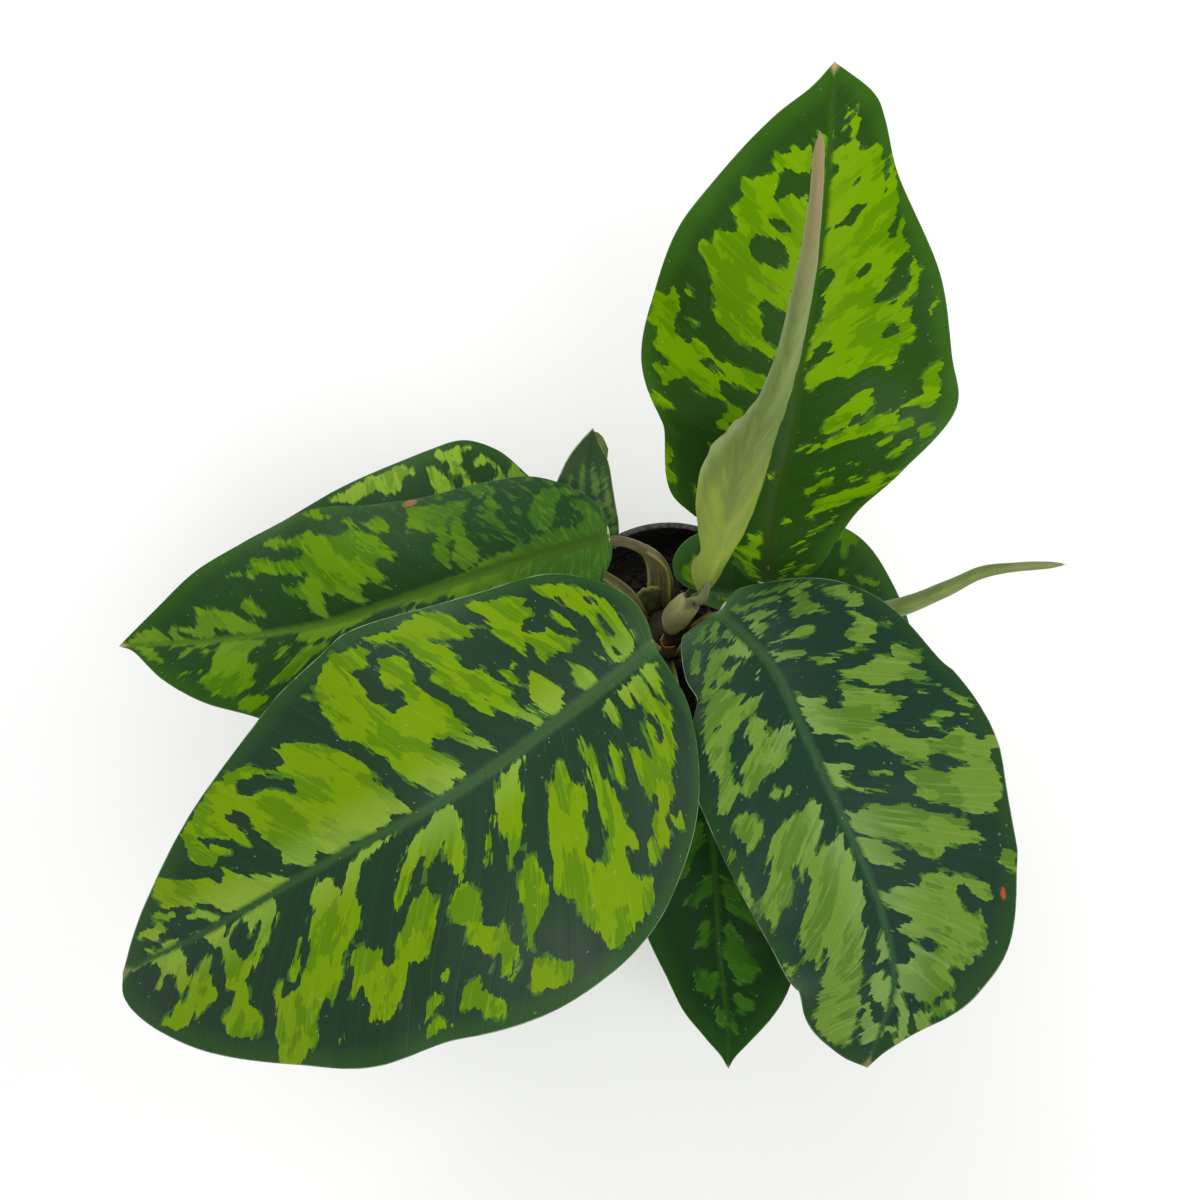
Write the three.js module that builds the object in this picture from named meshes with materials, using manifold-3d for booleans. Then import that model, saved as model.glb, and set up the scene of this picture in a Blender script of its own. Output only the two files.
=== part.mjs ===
// Potted camouflage homalomena: a black nursery pot of potting mix, and in it a short crown that
// carries eight patterned leaves and two young leaves that are still rolled up.
// Millimetres, +Z up, the origin at the middle of the pot's flat bottom, +Y away from the viewer.
import * as THREE from "three";
import { mergeVertices } from "three/addons/utils/BufferGeometryUtils.js";
import Module from "manifold-3d";

const wasm = await Module();
wasm.setup();

// The pot: a round, thin, tapered one with a stepped band under its rim.
const pot = {
  height: 80,
  rimRadius: 45,
  bandRadius: 43.6,
  bandHeight: 13,
  bodyTopRadius: 41.6,
  baseRadius: 31,
  bandTaper: 0.4,
  shoulder: 1,
  rimThickness: 1.6,
  rimSlope: 0.4,
  footEdge: 1,
  wall: 1.2,
  floor: 2,
  sides: 48,
};
const drain = { count: 8, radius: 3.5, ring: 23, cut: 8, sides: 12 };

// The gap that stays between pieces that rest on each other.
const seatGap = 0.3;
// Corners of a mesh closer than this are one.
const cornerGap = 1e-4;

const soil = { edgeHeight: 67, middleHeight: 71, edgeInset: 1, lump: 0.9, rings: 9, sides: 40 };
// The lumps of the mix come from two swaying waves, in radians per millimetre.
const lumps = { acrossX: 1.9, swayY: 0.8, acrossY: 2.3, swayX: 1.1 };

// The crown is the short stout stem in the middle, sunk in the mix.
const crown = {
  x: 0,
  y: -4,
  radius: 13.5,
  footRadius: 9.45,
  neckRadius: 10.8,
  tipRadius: 6,
  foot: 56,
  belly: 64,
  shoulder: 74,
  neck: 80,
  top: 84,
  sides: 28,
};

const blade = {
  thickness: 0.8,
  fewestRows: 7,
  rowLength: 15,
  ribAtBase: 1.6,
  ribAtTip: 0.2,
  baseCrowding: 1.7,
};
// Where the columns of a blade's mesh stand, as shares of the way from the midrib to the margin.
const columns = [0, 0.07, 0.3, 0.55, 0.8, 1];
const stalk = { baseRadius: 2.5, endRadius: 2, thinRadius: 0.9, sides: 8, steps: 10, runUnderBlade: 14 };
// The stalks stand round the crown in a ring, a slot each, with the tall rolled leaf in the middle.
const ring = { radius: 9, foot: 70, firstAngle: 15, slotAngle: 40 };

const black = { color: 0x1b1a18, roughness: 0.55, metalness: 0 };
const mix = { color: 0x2a1f18, roughness: 1, metalness: 0 };
const crownBrown = { color: 0x8a7650, roughness: 0.8, metalness: 0 };
const leafGreen = { color: 0x4c7a2c, roughness: 0.45, metalness: 0 };
const youngGreen = { color: 0x93a35a, roughness: 0.5, metalness: 0 };
const sheathBeige = { color: 0xa8a07a, roughness: 0.7, metalness: 0 };

// Each leaf: its slot in the crown, the points of its stalk and of its midrib from the stalk to the
// tip, and the way its upper face looks on the way there. For each half, the lift from the midrib
// and the bend per 10 mm, in degrees, and the margin as [along the midrib, across from it].
// A rolled leaf has the radius of its roll in place of the bend. A wave is given by its height at
// waveWidth from the midrib, its length, and where on it the half starts.
const bendSpan = 10;
const waveWidth = 40;
const leaves = [
  {
    name: "leaf_front_left",
    slot: 5,
    stalk: [[-9, -20, 110], [-11, -33, 148]],
    rib: [
      [-11, -36, 160], [-41, -65, 178], [-76, -92, 184], [-106, -106, 176], [-147, -125, 156],
      [-186, -139, 130],
    ],
    face: [[0.1, -0.1, 1], [0, -0.1, 1], [-0.1, -0.2, 1]],
    left: {
      lift: [12, 10, 8],
      bend: [5, 4, 4],
      wave: { height: 1.2, length: 74, start: 0.3 },
      margin: [
        [0, 0], [3, 10], [10, 26], [32, 52], [60, 67], [88, 70], [115, 64], [145, 60], [172, 48],
        [198, 34], [218, 19], [226, 8], [224, 0],
      ],
    },
    right: {
      lift: [12, 10, 8],
      bend: [5, 4, 4],
      wave: { height: 1.5, length: 82, start: 0 },
      margin: [
        [0, 0], [-4, 10], [-3, 20], [4, 31], [17, 41], [42, 49], [70, 59], [92, 61], [118, 56],
        [142, 47], [172, 33], [204, 15], [224, 0],
      ],
    },
  },
  {
    name: "leaf_left",
    slot: 2,
    stalk: [[-3, 13, 97], [-7, 15, 112], [-16, 16, 124]],
    rib: [
      [-26, 15, 134], [-60, -1, 148], [-92, -14, 152], [-124, -23, 147], [-164, -24, 131],
      [-212, -20, 110],
    ],
    face: [[0, 0, 1], [0, -0.1, 1], [0, -0.1, 1]],
    left: {
      lift: [12, 10, 8],
      bend: [6, 5, 5],
      wave: { height: 1.5, length: 66, start: 0.2 },
      margin: [
        [0, 0], [2, 6], [8, 13], [25, 26], [55, 38], [90, 42], [120, 36], [140, 29], [160, 23],
        [180, 14], [197, 3], [206, 0],
      ],
    },
    right: {
      lift: [12, 12, 10, 8, 8],
      bend: [8, 12, 9, 7, 6],
      wave: { height: 2, length: 70, start: 0.55 },
      margin: [
        [0, 0], [-2, 10], [4, 22], [18, 35], [40, 37], [62, 38], [85, 43], [108, 47], [130, 46],
        [150, 41], [170, 30], [188, 14], [206, 0],
      ],
    },
  },
  {
    name: "leaf_back_left",
    slot: 4,
    stalk: [[-19, 9, 90], [-38, 21, 93]],
    rib: [[-47, 25, 96], [-69, 23, 106], [-108, 23, 112], [-141, 27, 106], [-168, 34, 94]],
    face: [[0, 0, 1], [0, 0, 1]],
    left: {
      lift: [12, 10, 8],
      bend: [6, 5, 5],
      wave: { height: 1.5, length: 58, start: 0.1 },
      margin: [[0, 0], [-3, 8], [4, 20], [20, 31], [46, 35], [74, 31], [98, 20], [116, 8], [128, 0]],
    },
    right: {
      lift: [12, 10, 8],
      bend: [6, 5, 5],
      wave: { height: 1.5, length: 64, start: 0.6 },
      margin: [[0, 0], [-4, 10], [3, 26], [18, 40], [38, 46], [56, 40], [80, 29], [106, 14], [128, 0]],
    },
  },
  {
    name: "leaf_back_small",
    slot: 3,
    stalk: [[-7.5, 11, 77], [-7, 21, 83], [-10, 28, 88], [-18, 30, 93]],
    rib: [[-28, 27, 98], [-33, 35, 118], [-34, 44, 135], [-32, 52, 149]],
    face: [[0, -1, 0.6], [0, -1, 0.6]],
    left: {
      lift: [12, 10, 8],
      bend: [6, 5, 5],
      margin: [[0, 0], [-2, 5], [10, 13], [28, 14], [42, 9], [52, 4], [58, 0]],
    },
    right: {
      lift: [12, 10, 8],
      bend: [6, 5, 5],
      margin: [[0, 0], [-2, 5], [10, 9], [24, 10], [38, 9], [50, 7], [58, 0]],
    },
  },
  {
    name: "leaf_back_right",
    slot: 0,
    stalk: [[14, -5, 98], [29, -7, 120]],
    rib: [[34, -1, 126], [34, 20, 143], [39, 42, 159], [42, 66, 173], [49, 110, 195], [54, 165, 209]],
    face: [[0, -0.3, 1], [0, -0.3, 1]],
    left: {
      lift: [-22, 2, 10, 8],
      bend: [6, 5, 4],
      wave: { height: 1.5, length: 68, start: 0.5 },
      margin: [
        [0, 0], [2, 9], [12, 16], [21, 27], [30, 43], [54, 48], [78, 58], [100, 56], [124, 50],
        [148, 36], [167, 21], [180, 8], [191, 0],
      ],
    },
    right: {
      lift: [15, 30, 12, 8, 8],
      bend: [2, -5, 3, 4, 4],
      wave: { height: 2, length: 60, start: 0.1 },
      margin: [
        [0, 0], [2, 9], [8, 18], [22, 25], [38, 33], [53, 46], [67, 54], [82, 54], [98, 51],
        [116, 44], [136, 32], [152, 24], [170, 19], [180, 14], [191, 0],
      ],
    },
  },
  {
    name: "leaf_right_low",
    slot: 1,
    stalk: [[7, 8, 84], [11, 11, 91]],
    rib: [[12, 8, 95], [34, 3, 101], [61, -3, 101], [82, -8, 95], [98, -12, 87]],
    face: [[0, 0, 1], [0, 0, 1]],
    left: {
      lift: [12, 10, 8],
      bend: [6, 5, 5],
      wave: { height: 1.5, length: 50, start: 0.4 },
      margin: [
        [0, 0], [-7, 1], [-13, 6], [-14, 14], [-8, 23], [8, 31], [30, 36], [50, 37], [64, 32],
        [78, 17], [92, 0],
      ],
    },
    right: {
      lift: [12, 10, 8],
      bend: [6, 5, 5],
      wave: { height: 1.5, length: 50, start: 0 },
      margin: [
        [0, 0], [-4, 2], [-3, 5], [3, 6.5], [14, 10], [28, 17], [45, 24], [68, 21], [84, 9],
        [92, 0],
      ],
    },
  },
  {
    name: "leaf_front_right",
    slot: 7,
    stalk: [[7, -15, 106], [11, -20, 137]],
    rib: [
      [13, -18, 143], [28, -40, 154], [37, -64, 160], [49, -93, 156], [62, -120, 142],
      [69, -143, 122], [64, -168, 98],
    ],
    face: [[0, -0.1, 1], [0, -0.2, 1]],
    left: {
      lift: [12, 10, 8],
      bend: [5, 4, 4],
      wave: { height: 1.5, length: 72, start: 0.1 },
      margin: [
        [0, 0], [-2, 11], [8, 24], [22, 39], [36, 50], [58, 56], [80, 57], [104, 54], [124, 49],
        [142, 40], [154, 27], [166, 13], [178, 5], [189, 0],
      ],
    },
    right: {
      lift: [12, 10, 8],
      bend: [6, 5, 4],
      wave: { height: 1.5, length: 66, start: 0.6 },
      margin: [
        [0, 0], [0, 12], [2, 18], [15, 26], [33, 29], [56, 40], [73, 41], [97, 40], [120, 38],
        [150, 33], [173, 26], [184, 12], [189, 0],
      ],
    },
  },
  {
    name: "leaf_front_low",
    slot: 6,
    stalk: [[0, -34, 92], [7, -59, 97]],
    rib: [[8, -62, 100], [12, -92, 100], [15, -130, 84], [19, -156, 66], [20, -172, 52]],
    face: [[0, -0.1, 1], [0, -0.3, 1]],
    left: {
      lift: [12, 10, 8],
      bend: [5, 5, 5],
      wave: { height: 1.5, length: 60, start: 0.7 },
      margin: [
        [0, 0], [-2, 8], [10, 22], [35, 31], [62, 31], [82, 27], [96, 21], [110, 9], [118, 3],
        [125, 0],
      ],
    },
    right: {
      lift: [12, 10, 8],
      bend: [5, 5, 5],
      wave: { height: 1.5, length: 56, start: 0.2 },
      margin: [
        [0, 0], [-2, 8], [10, 22], [35, 30], [58, 28], [78, 21], [94, 16], [108, 9], [118, 3],
        [125, 0],
      ],
    },
  },
  {
    name: "rolled_leaf_tall",
    slot: "middle",
    finish: youngGreen,
    stalk: [[1, -2.4, 92], [5, -0.3, 103]],
    rib: [
      [10, 1, 112], [14, 6, 143], [16, 12, 171], [18, 18, 195], [22, 22, 216], [25, 26, 233],
      [26, 30, 248], [27, 40, 272], [27, 50, 285], [27, 60, 291],
    ],
    face: [[0, 1, -0.3], [0, 1, -0.4]],
    left: {
      lift: [0, 0],
      roll: [4.5, 5.8, 7, 9.3, 10.5, 11, 11, 10.2, 8.8, 6.8, 4.8, 3.7, 3.3, 2.8, 1.6, 1.1, 0.8],
      margin: [
        [0, 0], [3, 3], [12, 7], [24, 10], [48, 15], [72, 17], [96, 14], [120, 9], [144, 6.5],
        [168, 4.4], [184, 2.6], [195, 0],
      ],
    },
    right: {
      lift: [0, 0],
      roll: [4.5, 5.8, 7, 9.3, 10.5, 10.8, 9.4, 6.4, 4, 2.9, 2.9, 2.8, 2.6, 2.3, 1.9, 1.3, 0.8],
      margin: [
        [0, 0], [3, 3], [10, 8.5], [16, 9], [22, 7], [28, 7], [38, 11], [50, 16], [70, 18],
        [88, 14], [100, 9], [120, 7.5], [144, 6], [168, 4.4], [184, 2.6], [195, 0],
      ],
    },
  },
  {
    name: "rolled_leaf_right",
    slot: 8,
    finish: youngGreen,
    stalk: [[14, -14, 98], [30, -17, 110], [56, -12, 119]],
    rib: [[66, -11, 122], [83, -10, 127], [100, -4, 131], [112, 1, 134], [125, 2, 137], [141, 2, 139]],
    face: [[0, 0.3, -1], [0, 0.3, -1]],
    left: {
      lift: [0, 0],
      roll: [2.6, 3.3, 2.8, 2.1, 1.3, 0.7],
      margin: [[0, 0], [2, 5], [16, 8], [32, 7], [48, 5], [64, 3], [78, 0]],
    },
    right: {
      lift: [0, 0],
      roll: [2.6, 3.3, 2.8, 2.1, 1.3, 0.7],
      margin: [[0, 0], [2, 5], [16, 8], [32, 7], [48, 5], [64, 3], [78, 0]],
    },
  },
  {
    name: "sheath_tall",
    rib: [[-2, -6, 84.2], [-1.8, -6.2, 93.8], [1.4, -4.8, 103.5], [5.4, -2.8, 110]],
    face: [[0.56, 0.76, -0.33], [0.56, 0.76, -0.33]],
    left: {
      lift: [0, 0],
      roll: [3.8, 5.4, 5.4, 5, 4],
      margin: [[0, 0], [1, 9], [8, 14.5], [15, 15], [23, 12], [29, 0]],
    },
    right: {
      lift: [0, 0],
      roll: [3.8, 5.4, 5.4, 5, 4],
      margin: [[0, 0], [1, 9], [8, 14.5], [15, 15], [23, 12], [29, 0]],
    },
  },
];

// Manifold solids from three.js geometries, and back.

function signedVolume(positions, triangles) {
  const corner = (i) => new THREE.Vector3().fromArray(positions, 3 * triangles[i]);
  let sum = 0;
  for (let i = 0; i < triangles.length; i += 3) {
    sum += corner(i).dot(corner(i + 1).cross(corner(i + 2)));
  }
  return sum / 6;
}

function solidOf(geometry) {
  const bare = geometry.clone();
  bare.deleteAttribute("normal");
  bare.deleteAttribute("uv");
  const merged = mergeVertices(bare, cornerGap);
  const vertProperties = new Float32Array(merged.attributes.position.array);
  const index = Array.from(merged.index.array);
  const triangles = [];
  for (let i = 0; i < index.length; i += 3) {
    const [a, b, c] = index.slice(i, i + 3);
    if (a !== b && b !== c && c !== a) {
      triangles.push(a, b, c);
    }
  }
  if (signedVolume(vertProperties, triangles) < 0) {
    triangles.reverse();
  }
  const mesh = new wasm.Mesh({ numProp: 3, vertProperties, triVerts: new Uint32Array(triangles) });
  mesh.merge();
  return new wasm.Manifold(mesh);
}

function geometryOf(solid) {
  const mesh = solid.getMesh();
  const geometry = new THREE.BufferGeometry();
  geometry.setAttribute("position", new THREE.BufferAttribute(new Float32Array(mesh.vertProperties), 3));
  geometry.setIndex(new THREE.BufferAttribute(new Uint32Array(mesh.triVerts), 1));
  geometry.computeVertexNormals();
  return geometry;
}

function piece(name, solid, finish) {
  const mesh = new THREE.Mesh(geometryOf(solid), new THREE.MeshStandardMaterial(finish));
  mesh.name = name;
  return mesh;
}

// Curves and values along them.

function smoothCurve(points) {
  const curve = new THREE.CatmullRomCurve3(
    points.map(([x, y, z = 0]) => new THREE.Vector3(x, y, z)),
    false,
    "catmullrom",
    0.5,
  );
  curve.arcLengthDivisions = 400;
  return curve;
}

// The point at a distance along a curve, carried straight on past its ends.
function pointAlong(curve, distance) {
  const length = curve.getLength();
  const inside = THREE.MathUtils.clamp(distance, 0, length);
  const point = curve.getPointAt(inside / length);
  return point.addScaledVector(curve.getTangentAt(inside / length), distance - inside);
}

// A value from a list spread evenly from the base to the tip, with eased steps between.
function spread(values, share) {
  const place = THREE.MathUtils.clamp(share, 0, 1) * (values.length - 1);
  const before = Math.min(Math.floor(place), Math.max(values.length - 2, 0));
  const after = Math.min(before + 1, values.length - 1);
  const ease = THREE.MathUtils.smoothstep(place - before, 0, 1);
  return THREE.MathUtils.lerp(values[before], values[after], ease);
}

function spreadVector(vectors, share) {
  return new THREE.Vector3(...[0, 1, 2].map((axis) => spread(vectors.map((v) => v[axis]), share)));
}

// The blade's middle surface: the midrib's frame, and an arc across each half.

function ribFrame(leaf, along) {
  const share = THREE.MathUtils.clamp(along / leaf.length, 0, 1);
  const tangent = leaf.curve.getTangentAt(share);
  const face = spreadVector(leaf.face, share);
  face.addScaledVector(tangent, -face.dot(tangent)).normalize();
  const left = new THREE.Vector3().crossVectors(face, tangent);
  return { point: pointAlong(leaf.curve, along), face, left };
}

// The margin's undulation, which dies out towards the midrib.
function waveHeight(half, along, width) {
  if (!half.wave) {
    return 0;
  }
  const { height, length, start } = half.wave;
  return height * (width / waveWidth) ** 2 * Math.sin(2 * Math.PI * (along / length + start));
}

function bladePoint(leaf, along, across) {
  const { point, face, left } = ribFrame(leaf, along);
  const half = across >= 0 ? leaf.left : leaf.right;
  const share = along / leaf.length;
  const width = Math.abs(across);
  const lift = THREE.MathUtils.degToRad(spread(half.lift, share));
  const bend = half.roll
    ? -1 / spread(half.roll, share)
    : THREE.MathUtils.degToRad(spread(half.bend, share)) / bendSpan;
  const end = lift - bend * width;
  const out = (Math.sin(lift) - Math.sin(end)) / bend;
  const up = (Math.cos(end) - Math.cos(lift)) / bend + waveHeight(half, along, width);
  return point.addScaledVector(left, out * Math.sign(across)).addScaledVector(face, up);
}

// The flat place, along and across, of a mesh corner: its row runs out the way a side vein does.
function bladePlace(leaf, row, column) {
  const share = row / leaf.rows;
  const side = Math.sign(column);
  const edge = side < 0 ? leaf.rightEdge : leaf.leftEdge;
  const margin = edge.getPointAt(share);
  const root = leaf.length * share ** blade.baseCrowding;
  const way = columns[Math.abs(column)];
  return { along: THREE.MathUtils.lerp(root, margin.x, way), across: side * margin.y * way };
}

function bladeNormal(leaf, along, across) {
  const step = 1;
  const ahead = bladePoint(leaf, along + step, across).sub(bladePoint(leaf, along - step, across));
  const aside = bladePoint(leaf, along, across + step).sub(bladePoint(leaf, along, across - step));
  return ahead.cross(aside).normalize();
}

// A closed sheet: the same triangles above and below, and a wall round the margin. The first and
// the last row are one corner each, the notch at the stalk and the tip.
function bladeSolid(leaf) {
  leaf.curve = smoothCurve(leaf.rib);
  leaf.length = leaf.curve.getLength();
  leaf.rows = blade.fewestRows + Math.round(leaf.length / blade.rowLength);
  leaf.leftEdge = smoothCurve(leaf.left.margin);
  leaf.rightEdge = smoothCurve(leaf.right.margin);
  const { rows } = leaf;
  const last = columns.length - 1;
  const perRow = 2 * last + 1;
  const positions = [];
  const corner = (row, column, under) => {
    const single = row === 0 ? 0 : 1 + (rows - 1) * perRow;
    const id = row > 0 && row < rows ? 1 + (row - 1) * perRow + column + last : single;
    return 2 * id + under;
  };
  for (let row = 0; row <= rows; row += 1) {
    const ends = row === 0 || row === rows;
    for (let column = ends ? 0 : -last; column <= (ends ? 0 : last); column += 1) {
      const { along, across } = bladePlace(leaf, row, column);
      const normal = bladeNormal(leaf, along, across);
      const middle = bladePoint(leaf, along, across);
      const rib = column === 0 ? THREE.MathUtils.lerp(blade.ribAtBase, blade.ribAtTip, row / rows) : 0;
      positions.push(...middle.clone().addScaledVector(normal, blade.thickness / 2));
      positions.push(...middle.addScaledVector(normal, -blade.thickness / 2 - rib));
    }
  }
  const triangles = [];
  const add = (a, b, c) => {
    if (a !== b && b !== c && c !== a) {
      triangles.push(a, b, c);
    }
  };
  for (let row = 0; row < rows; row += 1) {
    for (let column = -last; column < last; column += 1) {
      for (const under of [0, 1]) {
        const near = corner(row, column, under);
        const far = corner(row + 1, column, under);
        const farNext = corner(row + 1, column + 1, under);
        const nearNext = corner(row, column + 1, under);
        const forward = under === 0;
        add(near, forward ? farNext : far, forward ? far : farNext);
        add(near, forward ? nearNext : farNext, forward ? farNext : nearNext);
      }
    }
    for (const column of [-last, last]) {
      const rim = [0, 1].map((under) => [corner(row, column, under), corner(row + 1, column, under)]);
      const [[near, far], [nearUnder, farUnder]] = rim;
      if (column > 0) {
        add(near, farUnder, far);
        add(near, nearUnder, farUnder);
      } else {
        add(near, far, farUnder);
        add(near, farUnder, nearUnder);
      }
    }
  }
  const geometry = new THREE.BufferGeometry();
  geometry.setAttribute("position", new THREE.BufferAttribute(new Float32Array(positions), 3));
  geometry.setIndex(triangles);
  return solidOf(geometry);
}

// A cylinder bent along a smooth curve, with its radius spread over its length.
function bentTube(points, radii, sides, steps) {
  const curve = smoothCurve(points);
  const frames = curve.computeFrenetFrames(steps, false);
  const geometry = new THREE.CylinderGeometry(1, 1, steps, sides, steps);
  const position = geometry.attributes.position;
  for (let i = 0; i < position.count; i += 1) {
    const step = Math.round(position.getY(i) + steps / 2);
    const radius = spread(radii, step / steps);
    const point = curve.getPointAt(step / steps);
    point.addScaledVector(frames.normals[step], radius * position.getX(i));
    point.addScaledVector(frames.binormals[step], radius * position.getZ(i));
    position.setXYZ(i, point.x, point.y, point.z);
  }
  return solidOf(geometry);
}

// A stalk runs on under the blade's midrib, into which it thins out.
function stalkSolid(leaf, extra) {
  const inRing = leaf.slot !== "middle";
  const angle = inRing ? THREE.MathUtils.degToRad(ring.firstAngle + ring.slotAngle * leaf.slot) : 0;
  const reach = inRing ? ring.radius : 0;
  const { point: notch, face } = ribFrame(leaf, 0);
  const ahead = ribFrame(leaf, stalk.runUnderBlade);
  const points = [
    [crown.x + reach * Math.cos(angle), crown.y + reach * Math.sin(angle), ring.foot - extra],
    ...leaf.stalk,
    notch.addScaledVector(face, -stalk.endRadius).toArray(),
    ahead.point.addScaledVector(ahead.face, -stalk.thinRadius).toArray(),
  ];
  const base = stalk.baseRadius + extra;
  const end = stalk.endRadius + extra;
  return bentTube(points, [base, base, end, end, stalk.thinRadius + extra], stalk.sides, stalk.steps);
}

// The pot, its potting mix and the crown.

function lathed(profile, sides) {
  const geometry = new THREE.LatheGeometry(profile.map(([r, z]) => new THREE.Vector2(r, z)), sides);
  geometry.rotateX(Math.PI / 2);
  return geometry;
}

function potSolid() {
  const bandFoot = pot.height - pot.bandHeight;
  const outside = [
    [0, 0],
    [pot.baseRadius - pot.footEdge, 0],
    [pot.baseRadius, pot.footEdge],
    [pot.bodyTopRadius, bandFoot - pot.shoulder],
    [pot.bandRadius - pot.bandTaper, bandFoot],
    [pot.bandRadius, pot.height - pot.rimThickness - pot.rimSlope],
    [pot.rimRadius, pot.height - pot.rimThickness],
    [pot.rimRadius, pot.height],
  ];
  const inside = [
    [pot.bandRadius - pot.wall, pot.height],
    [pot.bandRadius - pot.wall - pot.bandTaper, bandFoot + pot.wall],
    [pot.bodyTopRadius - pot.wall, bandFoot - pot.shoulder],
    [pot.baseRadius - pot.wall, pot.floor],
    [0, pot.floor],
  ];
  let body = solidOf(lathed([...outside, ...inside], pot.sides));
  for (let i = 0; i < drain.count; i += 1) {
    const angle = (2 * Math.PI * (i + 0.5)) / drain.count;
    const hole = new THREE.CylinderGeometry(drain.radius, drain.radius, drain.cut, drain.sides);
    hole.rotateX(Math.PI / 2);
    hole.translate(drain.ring * Math.cos(angle), drain.ring * Math.sin(angle), 0);
    body = body.subtract(solidOf(hole));
  }
  return body;
}

function crownGeometry(extra) {
  const geometry = lathed(
    [
      [0, crown.foot - extra],
      [crown.footRadius + extra, crown.foot - extra],
      [crown.radius + extra, crown.belly],
      [crown.radius + extra, crown.shoulder + extra],
      [crown.neckRadius + extra, crown.neck + extra],
      [crown.tipRadius + extra, crown.top + extra],
      [0, crown.top + extra],
    ],
    crown.sides,
  );
  geometry.translate(crown.x, crown.y, 0);
  return geometry;
}

// The mix fills the pot to a gap off its wall. Its top is a low mound with crumbs.
function soilSolid() {
  const bandFoot = pot.height - pot.bandHeight;
  const bodyRadius = pot.bodyTopRadius - pot.wall - seatGap;
  const profile = [
    [0, pot.floor + seatGap],
    [pot.baseRadius - pot.wall - seatGap, pot.floor + seatGap],
    [bodyRadius, bandFoot - pot.shoulder],
  ];
  const top = bodyRadius - soil.edgeInset;
  for (let ring = 0; ring <= soil.rings; ring += 1) {
    const share = ring / soil.rings;
    const z = THREE.MathUtils.lerp(soil.edgeHeight, soil.middleHeight, Math.sin((share * Math.PI) / 2));
    profile.push([top * (1 - share), z]);
  }
  const geometry = lathed(profile, soil.sides);
  const position = geometry.attributes.position;
  for (let i = 0; i < position.count; i += 1) {
    const [x, y, z] = [position.getX(i), position.getY(i), position.getZ(i)];
    if (z > bandFoot - pot.shoulder) {
      const first = Math.sin(x * lumps.acrossX + Math.sin(y * lumps.swayY));
      const second = Math.sin(y * lumps.acrossY + Math.sin(x * lumps.swayX));
      position.setZ(i, z + (soil.lump * (first + second)) / 2);
    }
  }
  return solidOf(geometry).subtract(solidOf(crownGeometry(seatGap)));
}

const model = new THREE.Group();
let crownBody = solidOf(crownGeometry(0));
for (const leaf of leaves) {
  const sheet = bladeSolid(leaf);
  if (leaf.stalk) {
    model.add(piece(leaf.name, sheet.add(stalkSolid(leaf, 0)), leaf.finish ?? leafGreen));
    crownBody = crownBody.subtract(stalkSolid(leaf, seatGap));
  } else {
    model.add(piece(leaf.name, sheet.subtract(solidOf(crownGeometry(seatGap))), sheathBeige));
  }
}
model.add(piece("crown", crownBody, crownBrown));
model.add(piece("potting_mix", soilSolid(), mix));
model.add(piece("pot", potSolid(), black));

export default model;
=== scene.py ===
# Potted camouflage homalomena: eight patterned leaves and two rolled young ones on a short crown,
# in a black nursery pot. The leaves stand where the frame has them, with finer blades.
import bpy
import math
import numpy as np
from mathutils import Euler, Matrix, Vector


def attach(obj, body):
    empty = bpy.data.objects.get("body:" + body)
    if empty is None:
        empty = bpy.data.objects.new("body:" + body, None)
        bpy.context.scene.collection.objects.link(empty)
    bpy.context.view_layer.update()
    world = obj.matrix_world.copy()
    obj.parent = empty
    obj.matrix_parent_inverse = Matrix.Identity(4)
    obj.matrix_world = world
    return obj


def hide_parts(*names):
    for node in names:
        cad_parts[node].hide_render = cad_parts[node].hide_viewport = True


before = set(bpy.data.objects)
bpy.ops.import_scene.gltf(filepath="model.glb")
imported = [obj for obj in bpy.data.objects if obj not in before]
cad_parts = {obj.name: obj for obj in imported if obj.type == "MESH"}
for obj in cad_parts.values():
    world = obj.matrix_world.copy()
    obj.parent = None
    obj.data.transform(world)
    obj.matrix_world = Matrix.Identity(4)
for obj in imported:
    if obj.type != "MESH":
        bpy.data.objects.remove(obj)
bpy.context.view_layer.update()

mm = 0.001
chance = np.random.default_rng(11)

# camera, light and floor, placed in metres

photoView = {
    "place": (-0.02932, -0.15153, 0.52288),
    "tiltFromStraightDown": 20,
    "lens": 34,
    "sensorWidth": 36,
    "clipEnd": 20,
}
studio = {
    "skyColor": (0.98, 0.99, 0.98, 1),
    "skyStrength": 0.5,
    # place, size of the lamp, power in watts
    "lamps": {
        "windowLamp": ((-0.6, 1.0, 1.0), 0.9, 10.5),
        "frontLamp": ((0.25, -0.8, 1.1), 0.9, 8),
        "sideLamp": ((1.1, 0.2, 0.7), 0.7, 3.5),
    },
    "lampsAimAt": (0, 0, 0.12),
    "floorSize": 8.0,
    "floorColor": (0.97, 0.97, 0.965, 1),
    "floorRoughness": 0.9,
}


def deselectAll():
    if bpy.context.object and bpy.context.object.mode != "OBJECT":
        bpy.ops.object.mode_set(mode="OBJECT")
    bpy.ops.object.select_all(action="DESELECT")


def pickOnly(piece):
    deselectAll()
    piece.select_set(True)
    bpy.context.view_layer.objects.active = piece


def setUpCamera():
    tilt = math.radians(photoView["tiltFromStraightDown"])
    bpy.ops.object.camera_add(location=photoView["place"], rotation=(tilt, 0, 0))
    camera = bpy.context.object
    camera.name = "photoCamera"
    camera.data.lens = photoView["lens"]
    camera.data.sensor_width = photoView["sensorWidth"]
    camera.data.clip_end = photoView["clipEnd"]
    bpy.context.scene.camera = camera


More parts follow.
